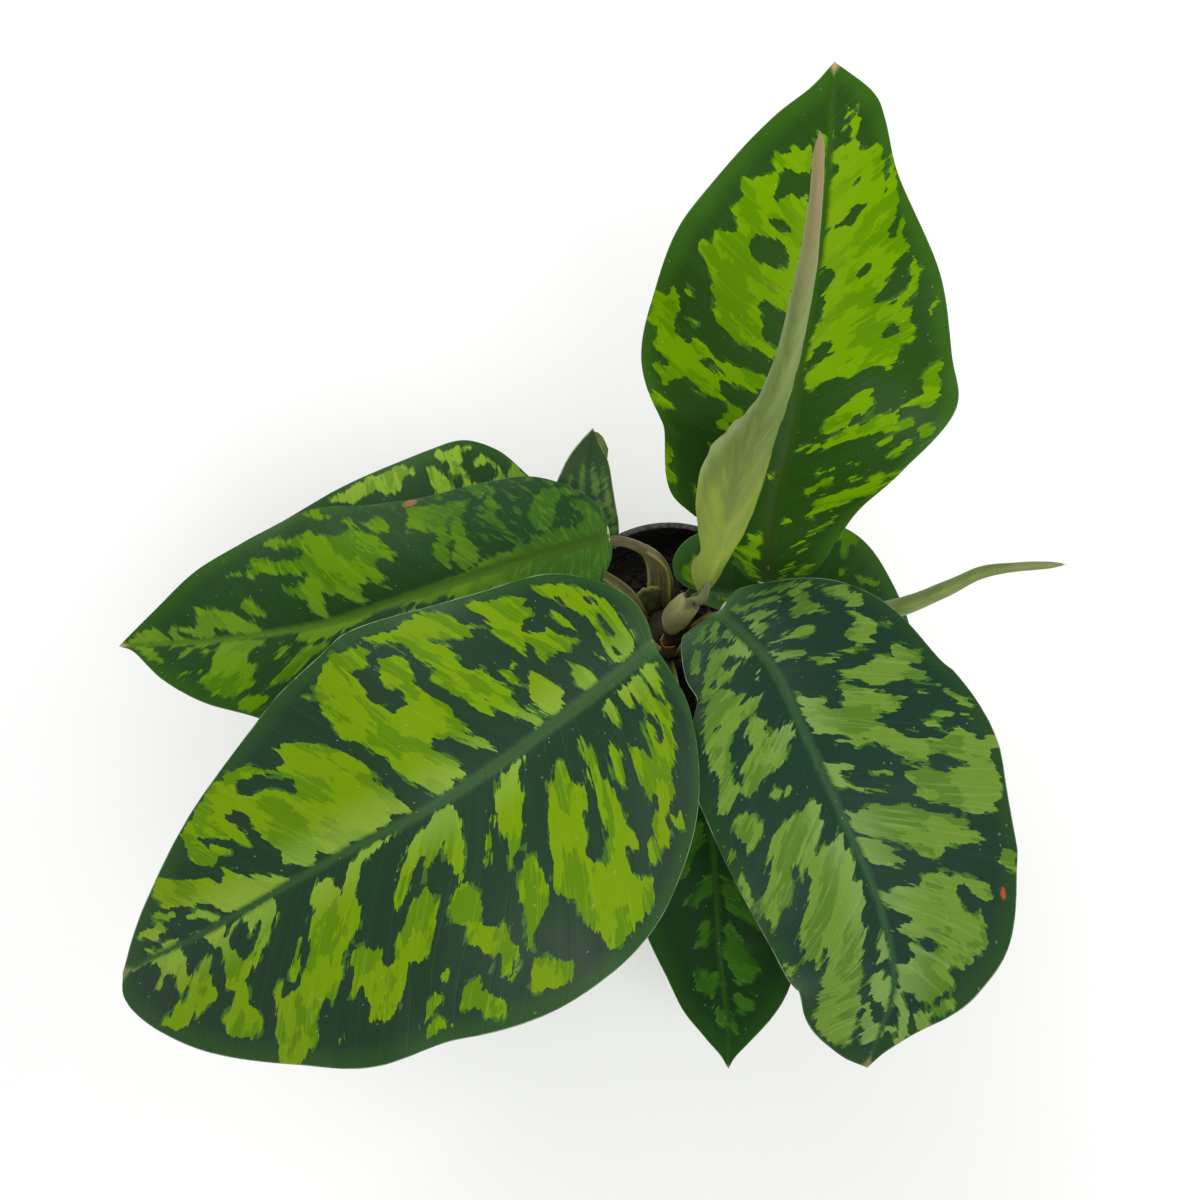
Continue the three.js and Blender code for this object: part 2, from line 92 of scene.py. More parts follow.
def setUpLight():
    sky = bpy.data.worlds.new("softSky")
    sky.use_nodes = True
    shade = sky.node_tree.nodes["Background"]
    shade.inputs["Color"].default_value = studio["skyColor"]
    shade.inputs["Strength"].default_value = studio["skyStrength"]
    bpy.context.scene.world = sky
    for name, (place, size, power) in studio["lamps"].items():
        bpy.ops.object.light_add(type="AREA", location=place)
        lamp = bpy.context.object
        lamp.name = name
        lamp.data.size = size
        lamp.data.energy = power
        x, y, z = np.array(studio["lampsAimAt"]) - place
        lamp.rotation_euler = (math.atan2(math.hypot(x, y), -z), 0, math.atan2(y, x) - math.pi / 2)
    bpy.context.scene.view_settings.view_transform = "Standard"


def layFloor():
    bpy.ops.mesh.primitive_plane_add(size=studio["floorSize"], location=(0, 0, 0))
    floor = bpy.context.object
    floor.name = "paleFloor"
    matte = bpy.data.materials.new("paleFloorPaint")
    matte.use_nodes = True
    coat = matte.node_tree.nodes["Principled BSDF"]
    coat.inputs["Base Color"].default_value = studio["floorColor"]
    coat.inputs["Roughness"].default_value = studio["floorRoughness"]
    floor.data.materials.append(matte)


deselectAll()
setUpCamera()
setUpLight()
layFloor()
print("camera, light and floor are in")

# curves and values along them, in millimetres from here on


def smoothCurve(points, stepsPerSpan=40):
    # a curve through all its points
    p = np.array(points, float)
    p = np.vstack([2 * p[0] - p[1], p, 2 * p[-1] - p[-2]])
    t = np.linspace(0, 1, stepsPerSpan, endpoint=False)[:, None]
    spans = [
        b + t * (c - a) / 2 + t**2 * (a - 2.5 * b + 2 * c - d / 2) + t**3 * (1.5 * (b - c) + (d - a) / 2)
        for a, b, c, d in zip(p, p[1:], p[2:], p[3:])
    ]
    line = np.vstack([*spans, p[-2:-1]])
    reach = np.concatenate([[0], np.cumsum(np.linalg.norm(np.diff(line, axis=0), axis=1))])
    return {"line": line, "reach": reach, "length": reach[-1]}


def pointsAlong(curve, distance):
    # a curve is carried straight on past its ends
    line, reach = curve["line"], curve["reach"]
    inside = np.clip(distance, 0, curve["length"])
    point = np.stack([np.interp(inside, reach, axis) for axis in line.T], axis=-1)
    slope = np.gradient(line, reach, axis=0)
    tangent = np.stack([np.interp(inside, reach, axis) for axis in slope.T], axis=-1)
    tangent /= np.linalg.norm(tangent, axis=-1, keepdims=True)
    return point + tangent * (distance - inside)[..., None], tangent


def spread(values, share):
    # a value from a list spread evenly from base to tip, with eased steps between
    values = np.array(values, float)
    place = np.clip(share, 0, 1) * (len(values) - 1)
    before = np.minimum(np.floor(place).astype(int), max(len(values) - 2, 0))
    after = np.minimum(before + 1, len(values) - 1)
    ease = np.clip(place - before, 0, 1)
    ease = ease * ease * (3 - 2 * ease)
    if values.ndim == 2:
        ease = ease[..., None]
    return values[before] * (1 - ease) + values[after] * ease


def squareTo(tangent, direction):
    # what is left of a direction at right angles to the tangent, one long
    square = direction - tangent * np.sum(direction * tangent, axis=-1, keepdims=True)
    return square / np.linalg.norm(square, axis=-1, keepdims=True)


def hump(distance, width):
    # 1 in the middle, fading to 0 over about twice the width
    return np.exp(-((distance / width) ** 2))


# meshes and what they keep

joinGap = 0.002


def laidGrid(name, rows, columns):
    # a flat grid, its corners told as 0 to 1 along it and -1 to 1 across, ready to be laid out
    deselectAll()
    bpy.ops.mesh.primitive_grid_add(x_subdivisions=rows, y_subdivisions=columns, size=2)
    grid = bpy.context.object
    grid.name = name
    corners = np.empty(3 * len(grid.data.vertices))
    grid.data.vertices.foreach_get("co", corners)
    corners = corners.reshape(-1, 3)
    return grid, (corners[:, 0] + 1) / 2, corners[:, 1]


def placeCorners(piece, positions):
    piece.data.vertices.foreach_set("co", (positions * mm).astype(np.float32).ravel())
    piece.data.update()


def keepOnCorners(piece, name, values):
    layer = piece.data.attributes.new(name, "FLOAT", "POINT")
    layer.data.foreach_set("value", np.asarray(values, np.float32))


def mapSurface(piece, u, v):
    # the piece's own map in millimetres along and across it, for patterns that follow the surface
    corner = np.empty(len(piece.data.loops), int)
    piece.data.loops.foreach_get("vertex_index", corner)
    layer = piece.data.uv_layers.active
    layer.data.foreach_set("uv", np.stack([u[corner], v[corner]], axis=1).astype(np.float32).ravel())


def joinDoubles(piece):
    pickOnly(piece)
    bpy.ops.object.mode_set(mode="EDIT")
    bpy.ops.mesh.select_all(action="SELECT")
    bpy.ops.mesh.remove_doubles(threshold=joinGap * mm)
    bpy.ops.object.mode_set(mode="OBJECT")


def turnOutward(piece):
    pickOnly(piece)
    bpy.ops.object.mode_set(mode="EDIT")
    bpy.ops.mesh.select_all(action="SELECT")
    bpy.ops.mesh.normals_make_consistent(inside=False)
    bpy.ops.object.mode_set(mode="OBJECT")


def smoothBelow(degrees):
    bpy.ops.object.shade_smooth_by_angle(angle=math.radians(degrees))


def thicken(sheet, thickness, offset, skin):
    wall = sheet.modifiers.new("sheetWall", "SOLIDIFY")
    wall.thickness = thickness * mm
    wall.offset = offset
    pickOnly(sheet)
    bpy.ops.object.modifier_apply(modifier=wall.name)
    sheet.data.materials.append(skin)
    bpy.ops.object.shade_smooth()


def joinTo(piece, parts):
    pickOnly(piece)
    for part in parts:
        part.select_set(True)
    bpy.ops.object.join()


# blades

bladeForm = {
    "thickness": 0.5,
    "spacing": 1.3,
    "quickTimes": 2.5,
    "longer": 1.25,
    "wider": 1.15,
    "evenColumns": 0.62,
    "rootCrowding": 1.7,
    # the width at which a wave has its full height, and the width that bends by the angle given
    "waveWidth": 40,
    "bendSpan": 10,
    "grooveWidth": 2.6,
    "grooveTaper": 0.75,
    "quiltVeins": 17,
    "quiltMean": 0.4,
    "reliefFade": 14,
    # the midrib's ridge below: height, width, where it starts and the run over which it grows
    "ridgeUnder": 1.9,
    "ridgeWidth": 1.9,
    "ridgeTaper": 0.9,
    "ridgeStart": 2,
    "ridgeRun": 8,
    "ridgeLeast": 0.004,
    "patchReach": 6.0,
    "noScar": -2.0,
    "scarStretch": 0.6,
    "mapStep": 400,
    "smoothAngle": 50,
}


def bladeSurface(leaf, along, across):
    # the middle surface: a frame on the midrib, an arc across each half and the margin's waves
    rib = leaf["ribCurve"]
    share = along / rib["length"]
    point, tangent = pointsAlong(rib, along)
    face = squareTo(tangent, spread(leaf["face"], share))
    toLeft = np.cross(face, tangent)
    width = np.abs(across)
    out = np.zeros_like(width)
    up = np.zeros_like(width)
    for side, mine in (("left", across >= 0), ("right", across < 0)):
        half = leaf[side]
        lift = np.radians(spread(half["lift"], share))
        if "roll" in half:
            bend = -1 / spread(half["roll"], share)
        else:
            bend = np.radians(spread(half["bend"], share)) / bladeForm["bendSpan"]
        end = lift - bend * width
        wave = half["wave"]
        swell = wave["height"] * (width / bladeForm["waveWidth"]) ** 2
        swell = swell * np.sin(2 * np.pi * (along / wave["length"] + wave["start"]))
        out = np.where(mine, (np.sin(lift) - np.sin(end)) / bend, out)
        up = np.where(mine, (np.cos(end) - np.cos(lift)) / bend + swell, up)
    return point + toLeft * (out * np.sign(across))[..., None] + face * up[..., None]


def flatPlace(leaf, share, column):
    # where a row (a side vein) and a column (0 the midrib, 1 and -1 the margins) meet on the flat blade
    left, _ = pointsAlong(leaf["leftEdge"], share * leaf["leftEdge"]["length"])
    right, _ = pointsAlong(leaf["rightEdge"], share * leaf["rightEdge"]["length"])
    margin = np.where((column >= 0)[..., None], left, right)
    root = leaf["ribCurve"]["length"] * share ** bladeForm["rootCrowding"]
    way = np.abs(column)
    along = root * (1 - way) + margin[..., 0] * way
    across = np.sign(column) * margin[..., 1] * way
    veinLength = np.hypot(margin[..., 0] - root, margin[..., 1])
    return along, across, veinLength


def depthInside(outline, along, across):
    # how deep each point lies inside a closed outline, negative outside it
    nearest = np.full(len(along), np.inf)
    inside = np.zeros(len(along), bool)
    for (ax, ay), (bx, by) in zip(outline, np.roll(outline, -1, axis=0)):
        dx, dy = bx - ax, by - ay
        reach = np.clip(((along - ax) * dx + (across - ay) * dy) / (dx * dx + dy * dy + 1e-9), 0, 1)
        nearest = np.minimum(nearest, np.hypot(along - ax - reach * dx, across - ay - reach * dy))
        crosses = (ay > across) != (by > across)
        hit = ax + (across - ay) * dx / (dy if dy else 1e-9)
        inside ^= crosses & (along < hit)
    return np.where(inside, nearest, -nearest)


def outlineOn(leaf, corners, sign):
    # corners are given in hundredths of the rows and of the way out to the margin
    corners = np.array(corners, float) / 100
    along, across, _ = flatPlace(leaf, corners[:, 0], sign * np.maximum(corners[:, 1], 0.001))
    return np.stack([along, across], axis=1)


def patchDepth(leaf, along, across):
    reach = bladeForm["patchReach"]
    depth = np.full(len(along), -reach)
    for side, sign in (("left", 1), ("right", -1)):
        for corners in leaf[side]["patches"]:
            depth = np.maximum(depth, depthInside(outlineOn(leaf, corners, sign), along, across))
        for corners in leaf[side]["gaps"]:
            depth = np.minimum(depth, -depthInside(outlineOn(leaf, corners, sign), along, across))
    return np.clip(depth, -reach, reach)


def scarDepth(leaf, along, across):
    # 1 in the middle of a scar, 0 at its edge
    depth = np.full(len(along), bladeForm["noScar"])
    for row, out, size in leaf["scars"]:
        spotAlong, spotAcross, _ = flatPlace(leaf, np.array([row / 100]), np.array([out / 100]))
        distance = np.hypot((along - spotAlong) * bladeForm["scarStretch"], across - spotAcross)
        depth = np.maximum(depth, 1 - distance / size)
    return depth


def upperRelief(leaf, share, column, width):
    # a groove on the midrib and pillows between the side veins
    form = bladeForm
    groove = leaf["groove"] * (1 - form["grooveTaper"] * share) * hump(width, form["grooveWidth"])
    betweenVeins = np.abs(np.sin(np.pi * form["quiltVeins"] * share)) ** 0.7
    pillow = betweenVeins * np.sin(np.pi * np.clip(np.abs(column), 0, 1)) ** 0.6
    height = form["thickness"] / 2 - groove + leaf["quilt"] * (pillow - form["quiltMean"])
    fade = np.clip(share * form["reliefFade"], 0, 1) * np.clip((1 - share) * form["reliefFade"], 0, 1)
    return height * fade


def thickenBlade(blade, leaf, along, share, width):
    # the wall is thicker under the midrib, where it stands out as a ridge
    form = bladeForm
    ridge = blade.vertex_groups.new(name="ridge")
    weights = hump(width, form["ridgeWidth"]) * (1 - form["ridgeTaper"] * share)
    weights = weights * np.clip((along - form["ridgeStart"]) / form["ridgeRun"], 0, 1)
    for corner in np.nonzero(weights > form["ridgeLeast"])[0]:
        ridge.add([int(corner)], float(weights[corner]), "REPLACE")
    joinDoubles(blade)
    most = form["thickness"] + form["ridgeUnder"]
    wall = blade.modifiers.new("bladeWall", "SOLIDIFY")
    wall.offset = -1
    wall.thickness = most * mm
    wall.vertex_group = "ridge"
    wall.thickness_vertex_group = form["thickness"] / most
    wall.material_offset = 1
    wall.material_offset_rim = 0
    blade.data.materials.append(leaf["upper"])
    blade.data.materials.append(leaf["under"])
    bpy.ops.object.modifier_apply(modifier=wall.name)
    blade.vertex_groups.clear()


def growBlade(leaf):
    leaf["ribCurve"] = smoothCurve(leaf["rib"])
    leaf["leftEdge"] = smoothCurve(leaf["left"]["margin"])
    leaf["rightEdge"] = smoothCurve(leaf["right"]["margin"])
    length = leaf["ribCurve"]["length"]
    widest = leaf["leftEdge"]["line"][:, 1].max() + leaf["rightEdge"]["line"][:, 1].max()
    spacing = bladeForm["spacing"] * 1
    rows = int(length * bladeForm["longer"] / spacing)
    columns = 2 * int(widest * bladeForm["wider"] / spacing / 2) + 2
    blade, share, column = laidGrid(leaf["name"], rows, columns)
    even = bladeForm["evenColumns"]
    column = np.sign(column) * (even * np.abs(column) + (1 - even) * column**2)
    along, across, veinLength = flatPlace(leaf, share, column)
    width = np.abs(across)
    middle = bladeSurface(leaf, along, across)
    placeCorners(blade, middle)
    normals = np.empty(3 * len(share))
    blade.data.vertex_normals.foreach_get("vector", normals)
    relief = upperRelief(leaf, share, column, width)
    placeCorners(blade, middle + normals.reshape(-1, 3) * relief[:, None])
    keepOnCorners(blade, "patch", patchDepth(leaf, along, across))
    keepOnCorners(blade, "fromRib", width)
    keepOnCorners(blade, "fromMargin", (1 - np.abs(column)) * veinLength)
    keepOnCorners(blade, "share", share)
    keepOnCorners(blade, "scar", scarDepth(leaf, along, across))
    mapSurface(blade, share * length + bladeForm["mapStep"] * leaf["seed"], column * veinLength)
    thickenBlade(blade, leaf, along, share, width)
    smoothBelow(bladeForm["smoothAngle"])
    return blade


# stalks and flaps of old sheath

stalkForm = {
    "radii": [2.5, 2.5, 2, 2, 0.9],
    "runUnderBlade": 14,
    "sunk": 0.5,
    "sides": 24,
    "steps": 70,
    # the sheath's two wings stand up along the lower part, with a channel between them
    "wingsEnd": 0.62,
    "wingAngle": 0.95,
    "wingWidth": 0.3,
    "ridgeWidth": 0.28,
    "channel": 0.45,
    "channelWidth": 0.55,
    "channelStart": 6,
    "closesOver": 0.5,
    "mapWidth": 2.2,
    # the feet stand in a ring on the crown
    "footRing": 9,
    "firstAngle": 15,
    "slotAngle": 40,
    "foot": 70,
}
flapForm = {
    "rows": 16,
    "columns": 14,
    "thickness": 0.3,
    "ragged": 0.06,
    "roundedCorners": 0.25,
    "bowAtFoot": 0.4,
}
crownMiddle = (0, -4)


def aroundCrown(radius, turn, height):
    x = crownMiddle[0] + radius * np.cos(turn)
    y = crownMiddle[1] + radius * np.sin(turn)
    return np.stack([x, y, height], axis=-1)


def stalkPath(leaf, start, upper):
    # from the crown, through the points given, to the blade's base and on along under the midrib
    form = stalkForm
    reach, turn = 0.0, 0.0
    if leaf["slot"] != "middle":
        reach, turn = form["footRing"], math.radians(form["firstAngle"] + form["slotAngle"] * leaf["slot"])
    underBase = start[0] - upper[0] * (form["radii"][3] + form["sunk"])
    underRib = start[1] - upper[1] * (form["radii"][4] + form["sunk"])
    return smoothCurve([aroundCrown(reach, turn, form["foot"]), *leaf["stalk"], underBase, underRib])


def growStalk(leaf):
    form = stalkForm
    run = np.array([0.0, form["runUnderBlade"]])
    start, tangent = pointsAlong(leaf["ribCurve"], run)
    upper = squareTo(tangent, spread(leaf["face"], run / leaf["ribCurve"]["length"]))
    path = stalkPath(leaf, start, upper)
    steps = form["steps"] // 1
    tube, share, around = laidGrid(leaf["name"] + "Stalk", steps, form["sides"])
    # rows crowd at both ends, where the tube closes
    share = 0.5 - 0.5 * np.cos(np.pi * share)
    turn = np.pi * around
    middle, ahead = pointsAlong(path, share * path["length"])
    upward = squareTo(ahead, upper[0])
    toLeft = np.cross(upward, ahead)
    wing = leaf["wing"] * np.clip(1 - share / form["wingsEnd"], 0, 1) ** 0.5
    channel = form["channel"] * hump(turn, form["channelWidth"])
    channel = channel * np.clip(share * form["channelStart"], 0, 1)
    radius = spread(form["radii"], share) * (1 - channel * 0.5)
    radius = radius + wing * hump(np.abs(turn) - form["wingAngle"], form["wingWidth"])
    fromEnd = np.minimum(share, 1 - share) * path["length"]
    radius = radius * np.clip(fromEnd / form["closesOver"], 0, 1) ** 0.5
    sideways = toLeft * (radius * np.sin(turn))[:, None]
    placeCorners(tube, middle + upward * (radius * np.cos(turn))[:, None] + sideways)
    keepOnCorners(tube, "share", share)
    onWing = np.abs(np.abs(turn) - form["wingAngle"]) < form["ridgeWidth"]
    keepOnCorners(tube, "scar", onWing * (wing > 0.2))
    mapSurface(tube, share * path["length"] + bladeForm["mapStep"] * leaf["seed"], turn * form["mapWidth"])
    joinDoubles(tube)
    turnOutward(tube)
    bpy.ops.object.shade_smooth()
    tube.data.materials.append(leaf["stalkSkin"])
    return tube


def growFlap(flap, ragged=flapForm["ragged"]):
    # a thin piece of old sheath between its foot and its free edge, bowed away from the crown
    sheet, up, across = laidGrid("sheathFlap", flapForm["rows"], flapForm["columns"])
    way = (across + 1) / 2
    foot, edge = np.array(flap["foot"], float), np.array(flap["edge"], float)
    low = foot[0] + (foot[1] - foot[0]) * way[:, None]
    high = edge[0] + (edge[1] - edge[0]) * way[:, None]
    outward = (foot[0] + foot[1]) / 2 - (*crownMiddle, foot[0][2])
    outward /= np.linalg.norm(outward)
    torn = 1 - ragged * (1 + np.sin(17 * way + foot[0][0]) * np.sin(7 * way + 1))
    rounded = 1 - flapForm["roundedCorners"] * np.abs(across) ** 4
    bowAtFoot = flapForm["bowAtFoot"]
    bow = flap["bow"] * np.sin(np.pi * way) * (bowAtFoot + (1 - bowAtFoot) * up)
    placeCorners(sheet, low + (high - low) * (up * torn * rounded)[:, None] + outward * bow[:, None])
    thicken(sheet, flapForm["thickness"], 0, flap["skin"])
    return sheet


def growLeaf(form):
    leaf = {**usualLeaf, **form}
    for side in ("left", "right"):
        leaf[side] = {**usualHalf, **form[side]}
    blade = growBlade(leaf)
    if "stalk" in leaf:
        joinTo(blade, [growStalk(leaf)] + [growFlap(flap) for flap in leaf["flaps"]])
    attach(blade, "root")
    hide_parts(leaf["node"])
    print(leaf["name"], "has", len(blade.data.polygons), "faces")


# skins: colours are written as they look on a screen, and patterns on the leaves are in millimetres


def paint(code):
    channels = [int(code[i : i + 2], 16) / 255 for i in (0, 2, 4)]
    return (*[c / 12.92 if c <= 0.04045 else ((c + 0.055) / 1.055) ** 2.4 for c in channels], 1)


def plug(tree, socket, value):
    # a socket takes another node's output, a colour code or a plain value
    if isinstance(value, bpy.types.NodeSocket):
        tree.links.new(value, socket)
    else:
        socket.default_value = paint(value) if isinstance(value, str) else value


def addNode(tree, kind, sockets=None, **settings):
    made = tree.nodes.new("ShaderNode" + kind)
    for key, value in settings.items():
        setattr(made, key, value)
    for key, value in (sockets or {}).items():
        plug(tree, made.inputs[key], value)
    return made


def sums(tree, operation, first, second=0.0, third=0.0):
    return addNode(tree, "Math", {0: first, 1: second, 2: third}, operation=operation).outputs[0]


def product(tree, first, second):
    return sums(tree, "MULTIPLY", first, second)


def swayed(tree, value, noise, amount):
    # a value moved up and down by a noise, which is 0.5 in its mean
    return sums(tree, "MULTIPLY_ADD", sums(tree, "SUBTRACT", noise, 0.5), amount, value)


def between(tree, value, low, high, to=(0.0, 1.0)):
    ends = {"From Min": low, "From Max": high, "To Min": to[0], "To Max": to[1]}
    return addNode(tree, "MapRange", {"Value": value, **ends}, interpolation_type="SMOOTHSTEP").outputs[0]


def blendColors(tree, share, first, second):
    # 6 and 7 are the node's two colours
    return addNode(tree, "Mix", {"Factor": share, 6: first, 7: second}, data_type="RGBA").outputs[2]


def kept(tree, name):
    return addNode(tree, "Attribute", attribute_name=name).outputs["Fac"]


def noiseOn(tree, place, scale, detail, roughness=0.5):
    sockets = {"Vector": place, "Scale": scale, "Detail": detail, "Roughness": roughness}
    return addNode(tree, "TexNoise", sockets).outputs["Fac"]


def grainAlong(tree, place, across, along, detail=3.0, roughness=0.55):
    # noise stretched along the side veins, in features per millimetre
    stretched = addNode(tree, "VectorMath", {0: place, 1: (across, along, 1)}, operation="MULTIPLY")
    return noiseOn(tree, stretched.outputs[0], 1, detail, roughness)


def cellsOn(tree, place, scale):
    # a random number for each cell, and the distance from its middle
    cells = addNode(tree, "TexVoronoi", {"Vector": place, "Scale": scale})
    return addNode(tree, "SeparateColor", {0: cells.outputs["Color"]}).outputs[0], cells.outputs["Distance"]


def veinsOn(tree, wave, far, near):
    return between(tree, sums(tree, "ABSOLUTE", sums(tree, "SINE", wave)), far, near)


def newSkin(name):
    skin = bpy.data.materials.new(name)
    skin.use_nodes = True
    return skin, skin.node_tree


def finishSkin(skin, color, roughness, relief=None, strength=0.0, height=0.0):
    tree = skin.node_tree
    coat = tree.nodes["Principled BSDF"]
    plug(tree, coat.inputs["Base Color"], color)
    plug(tree, coat.inputs["Roughness"], roughness)
    if relief is not None:
        bump = addNode(tree, "Bump", {"Strength": strength, "Distance": height * mm, "Height": relief})
        plug(tree, coat.inputs["Normal"], bump.outputs[0])
    return skin


leafTones = {
    "ground": "17341f",
    "groundWarm": "22481a",
    "groundAtBase": "17341f",
    "halfTone": "3d6a1a",
    "patch": "6e9006",
    "patchDeep": "577d0a",
    "patchPale": "7c9b22",
    "patchAtRib": "8fac4c",
    "patchAtBase": "5a8600",
    "rib": "34552c",
    "ribTip": "2d4f26",
    "margin": "8fa57f",
    "baseGlow": "47702f",
    "notch": "6c7450",
    "tip": "7a8050",
    "speck": "a9bb94",
    "scar": "8a6440",
    # where the pattern opens up on its way from base to tip, and the mottles short of there
    "opensFrom": 0.0,
    "mottle": 0.0,
    # how far the noise frays a patch, and how soft its edge is
    "fringe": 6.0,
    "softness": 0.1,
    "sideVeins": 32,
    "ribHalfWidth": 2.8,
    "marginShows": 0.45,
    "roughness": 0.45,
    "gloss": 0.2,
}
# features per millimetre across and along the side veins, detail and roughness of the noise
leafGrains = {
    "fibre": (0.5, 0.09, 4.0, 0.62),
    "ragged": (0.24, 0.1, 2.0),
    "cloud": (0.11, 0.045, 3.0),
    "streak": (0.85, 0.03, 3.0),
    "spots": (0.28, 0.16, 2.0),
}


def camouflageSkin(name, **changes):
    tone = {**leafTones, **changes}
    skin, tree = newSkin(name)
    place = addNode(tree, "UVMap").outputs[0]
    share, fromRib, fromMargin = (kept(tree, value) for value in ("share", "fromRib", "fromMargin"))
    grains = (grainAlong(tree, place, *grain) for grain in leafGrains.values())
    fibre, ragged, cloud, streak, spots = grains

    # the patches, with fringed ends along the veins
    depth = swayed(tree, kept(tree, "patch"), fibre, tone["fringe"])
    depth = swayed(tree, depth, ragged, 3.0)
    inPatch = between(tree, depth, -tone["softness"], tone["softness"])
    # here and there a sliver of half tone stands beside a patch
    aside = product(tree, between(tree, depth, -0.95, -0.8), between(tree, ragged, 0.52, 0.56))
    # a patch has two tones of green, parted as sharply as its own edge
    bright = swayed(tree, cloud, fibre, 0.35)
    light = blendColors(tree, between(tree, bright, 0.47, 0.51), tone["patchDeep"], tone["patch"])
    light = blendColors(tree, between(tree, streak, 0.52, 0.7, (0.0, 0.45)), light, tone["patchPale"])
    light = blendColors(tree, between(tree, fromRib, 16, 2, (0.0, 0.5)), light, tone["patchAtRib"])
    # on some leaves the pattern only opens up on the way to the tip
    opened = swayed(tree, share, cloud, 0.3)
    opened = between(tree, opened, tone["opensFrom"] - 0.16, tone["opensFrom"] + 0.16)
    light = blendColors(tree, opened, tone["patchAtBase"], light)

    # the dark ground turns warmer towards the margin
    edgeward = sums(tree, "MULTIPLY_ADD", cloud, 7.0, product(tree, fromMargin, -1.0))
    dark = blendColors(tree, between(tree, edgeward, -6.0, 2.5), tone["ground"], tone["groundWarm"])
    dark = blendColors(tree, between(tree, streak, 0.35, 0.9, (0.0, 0.35)), dark, tone["groundWarm"])
    dark = blendColors(tree, product(tree, aside, 0.8), dark, tone["halfTone"])
    dark = blendColors(tree, opened, tone["groundAtBase"], dark)
    color = blendColors(tree, inPatch, dark, light)
    # small soft mottles where the pattern hasn't opened up
    mottled = product(tree, between(tree, spots, 0.53, 0.64), between(tree, opened, 1.0, 0.0))
    color = blendColors(tree, product(tree, mottled, tone["mottle"]), color, tone["patchPale"])

    # side veins, the midrib, the glow at its base and the pale thread of the margin
    veinWave = sums(tree, "MULTIPLY_ADD", share, math.pi * tone["sideVeins"], product(tree, ragged, 0.5))
    nearVein = veinsOn(tree, veinWave, 0.14, 0.03)
    veinShows = product(tree, nearVein, between(tree, inPatch, 0.0, 1.0, (0.012, 0.34)))
    color = blendColors(tree, veinShows, color, tone["patchPale"])
    halfWidth = sums(tree, "MULTIPLY_ADD", share, -0.8 * tone["ribHalfWidth"], tone["ribHalfWidth"])
    overRib = swayed(tree, sums(tree, "SUBTRACT", halfWidth, fromRib), ragged, 1.6)
    ribColor = blendColors(tree, between(tree, share, 0.1, 0.9), tone["rib"], tone["ribTip"])
    color = blendColors(tree, between(tree, overRib, -1.3, 0.9), color, ribColor)
    nearBase = swayed(tree, share, cloud, 0.16)
    color = blendColors(tree, between(tree, nearBase, 0.13, 0.0, (0.0, 0.55)), color, tone["baseGlow"])
    paleEdge = between(tree, cloud, 0.35, 0.62, (0.1 * tone["marginShows"], tone["marginShows"]))
    paleEdge = product(tree, between(tree, fromMargin, 0.45, 0.2), paleEdge)
    color = blendColors(tree, paleEdge, color, tone["margin"])
    color = blendColors(tree, between(tree, share, 0.984, 0.998), color, tone["tip"])
    atNotch = sums(tree, "MULTIPLY_ADD", fromRib, 0.006, share)
    color = blendColors(tree, between(tree, atNotch, 0.02, 0.008, (0.0, 0.6)), color, tone["notch"])

    # stray specks and blemishes
    rare, fromSpeck = cellsOn(tree, place, 0.42)
    speck = product(tree, between(tree, fromSpeck, 0.14, 0.07), between(tree, rare, 0.8, 0.82))
    color = blendColors(tree, product(tree, speck, 0.4), color, tone["speck"])
    scar = sums(tree, "ADD", kept(tree, "scar"), sums(tree, "MULTIPLY_ADD", fibre, 0.8, -0.4))
    color = blendColors(tree, between(tree, scar, 0.0, 0.5), color, tone["scar"])

    # the pale patches are duller than the ground between them
    shine = between(tree, inPatch, 0.0, 1.0, (tone["gloss"], 0.3 * tone["gloss"]))
    plug(tree, tree.nodes["Principled BSDF"].inputs["Specular IOR Level"], shine)
    rough = between(tree, cloud, 0.2, 0.8, (tone["roughness"] - 0.06, tone["roughness"] + 0.08))
    relief = sums(tree, "MULTIPLY_ADD", nearVein, -0.9, product(tree, streak, 0.5))
    relief = sums(tree, "MULTIPLY_ADD", noiseOn(tree, place, 1.6, 3), 0.5, relief)
    return finishSkin(skin, color, rough, relief, 0.35, 0.22)


underTones = {
    "field": "738552",
    "fieldDeep": "5d7637",
    "low": "5d7637",
    "vein": "969e78",
    "margin": "b2b692",
    "tip": "9c8466",
    # where the tip's colour starts, and where the colour of the lower part ends
    "tipFrom": 0.9,
    "lowEnds": -1.0,
    "veins": 34,
    "ribShows": 0.7,
    "veinShows": 0.35,
    "marginShows": 1.0,
    "roughness": 0.5,
}


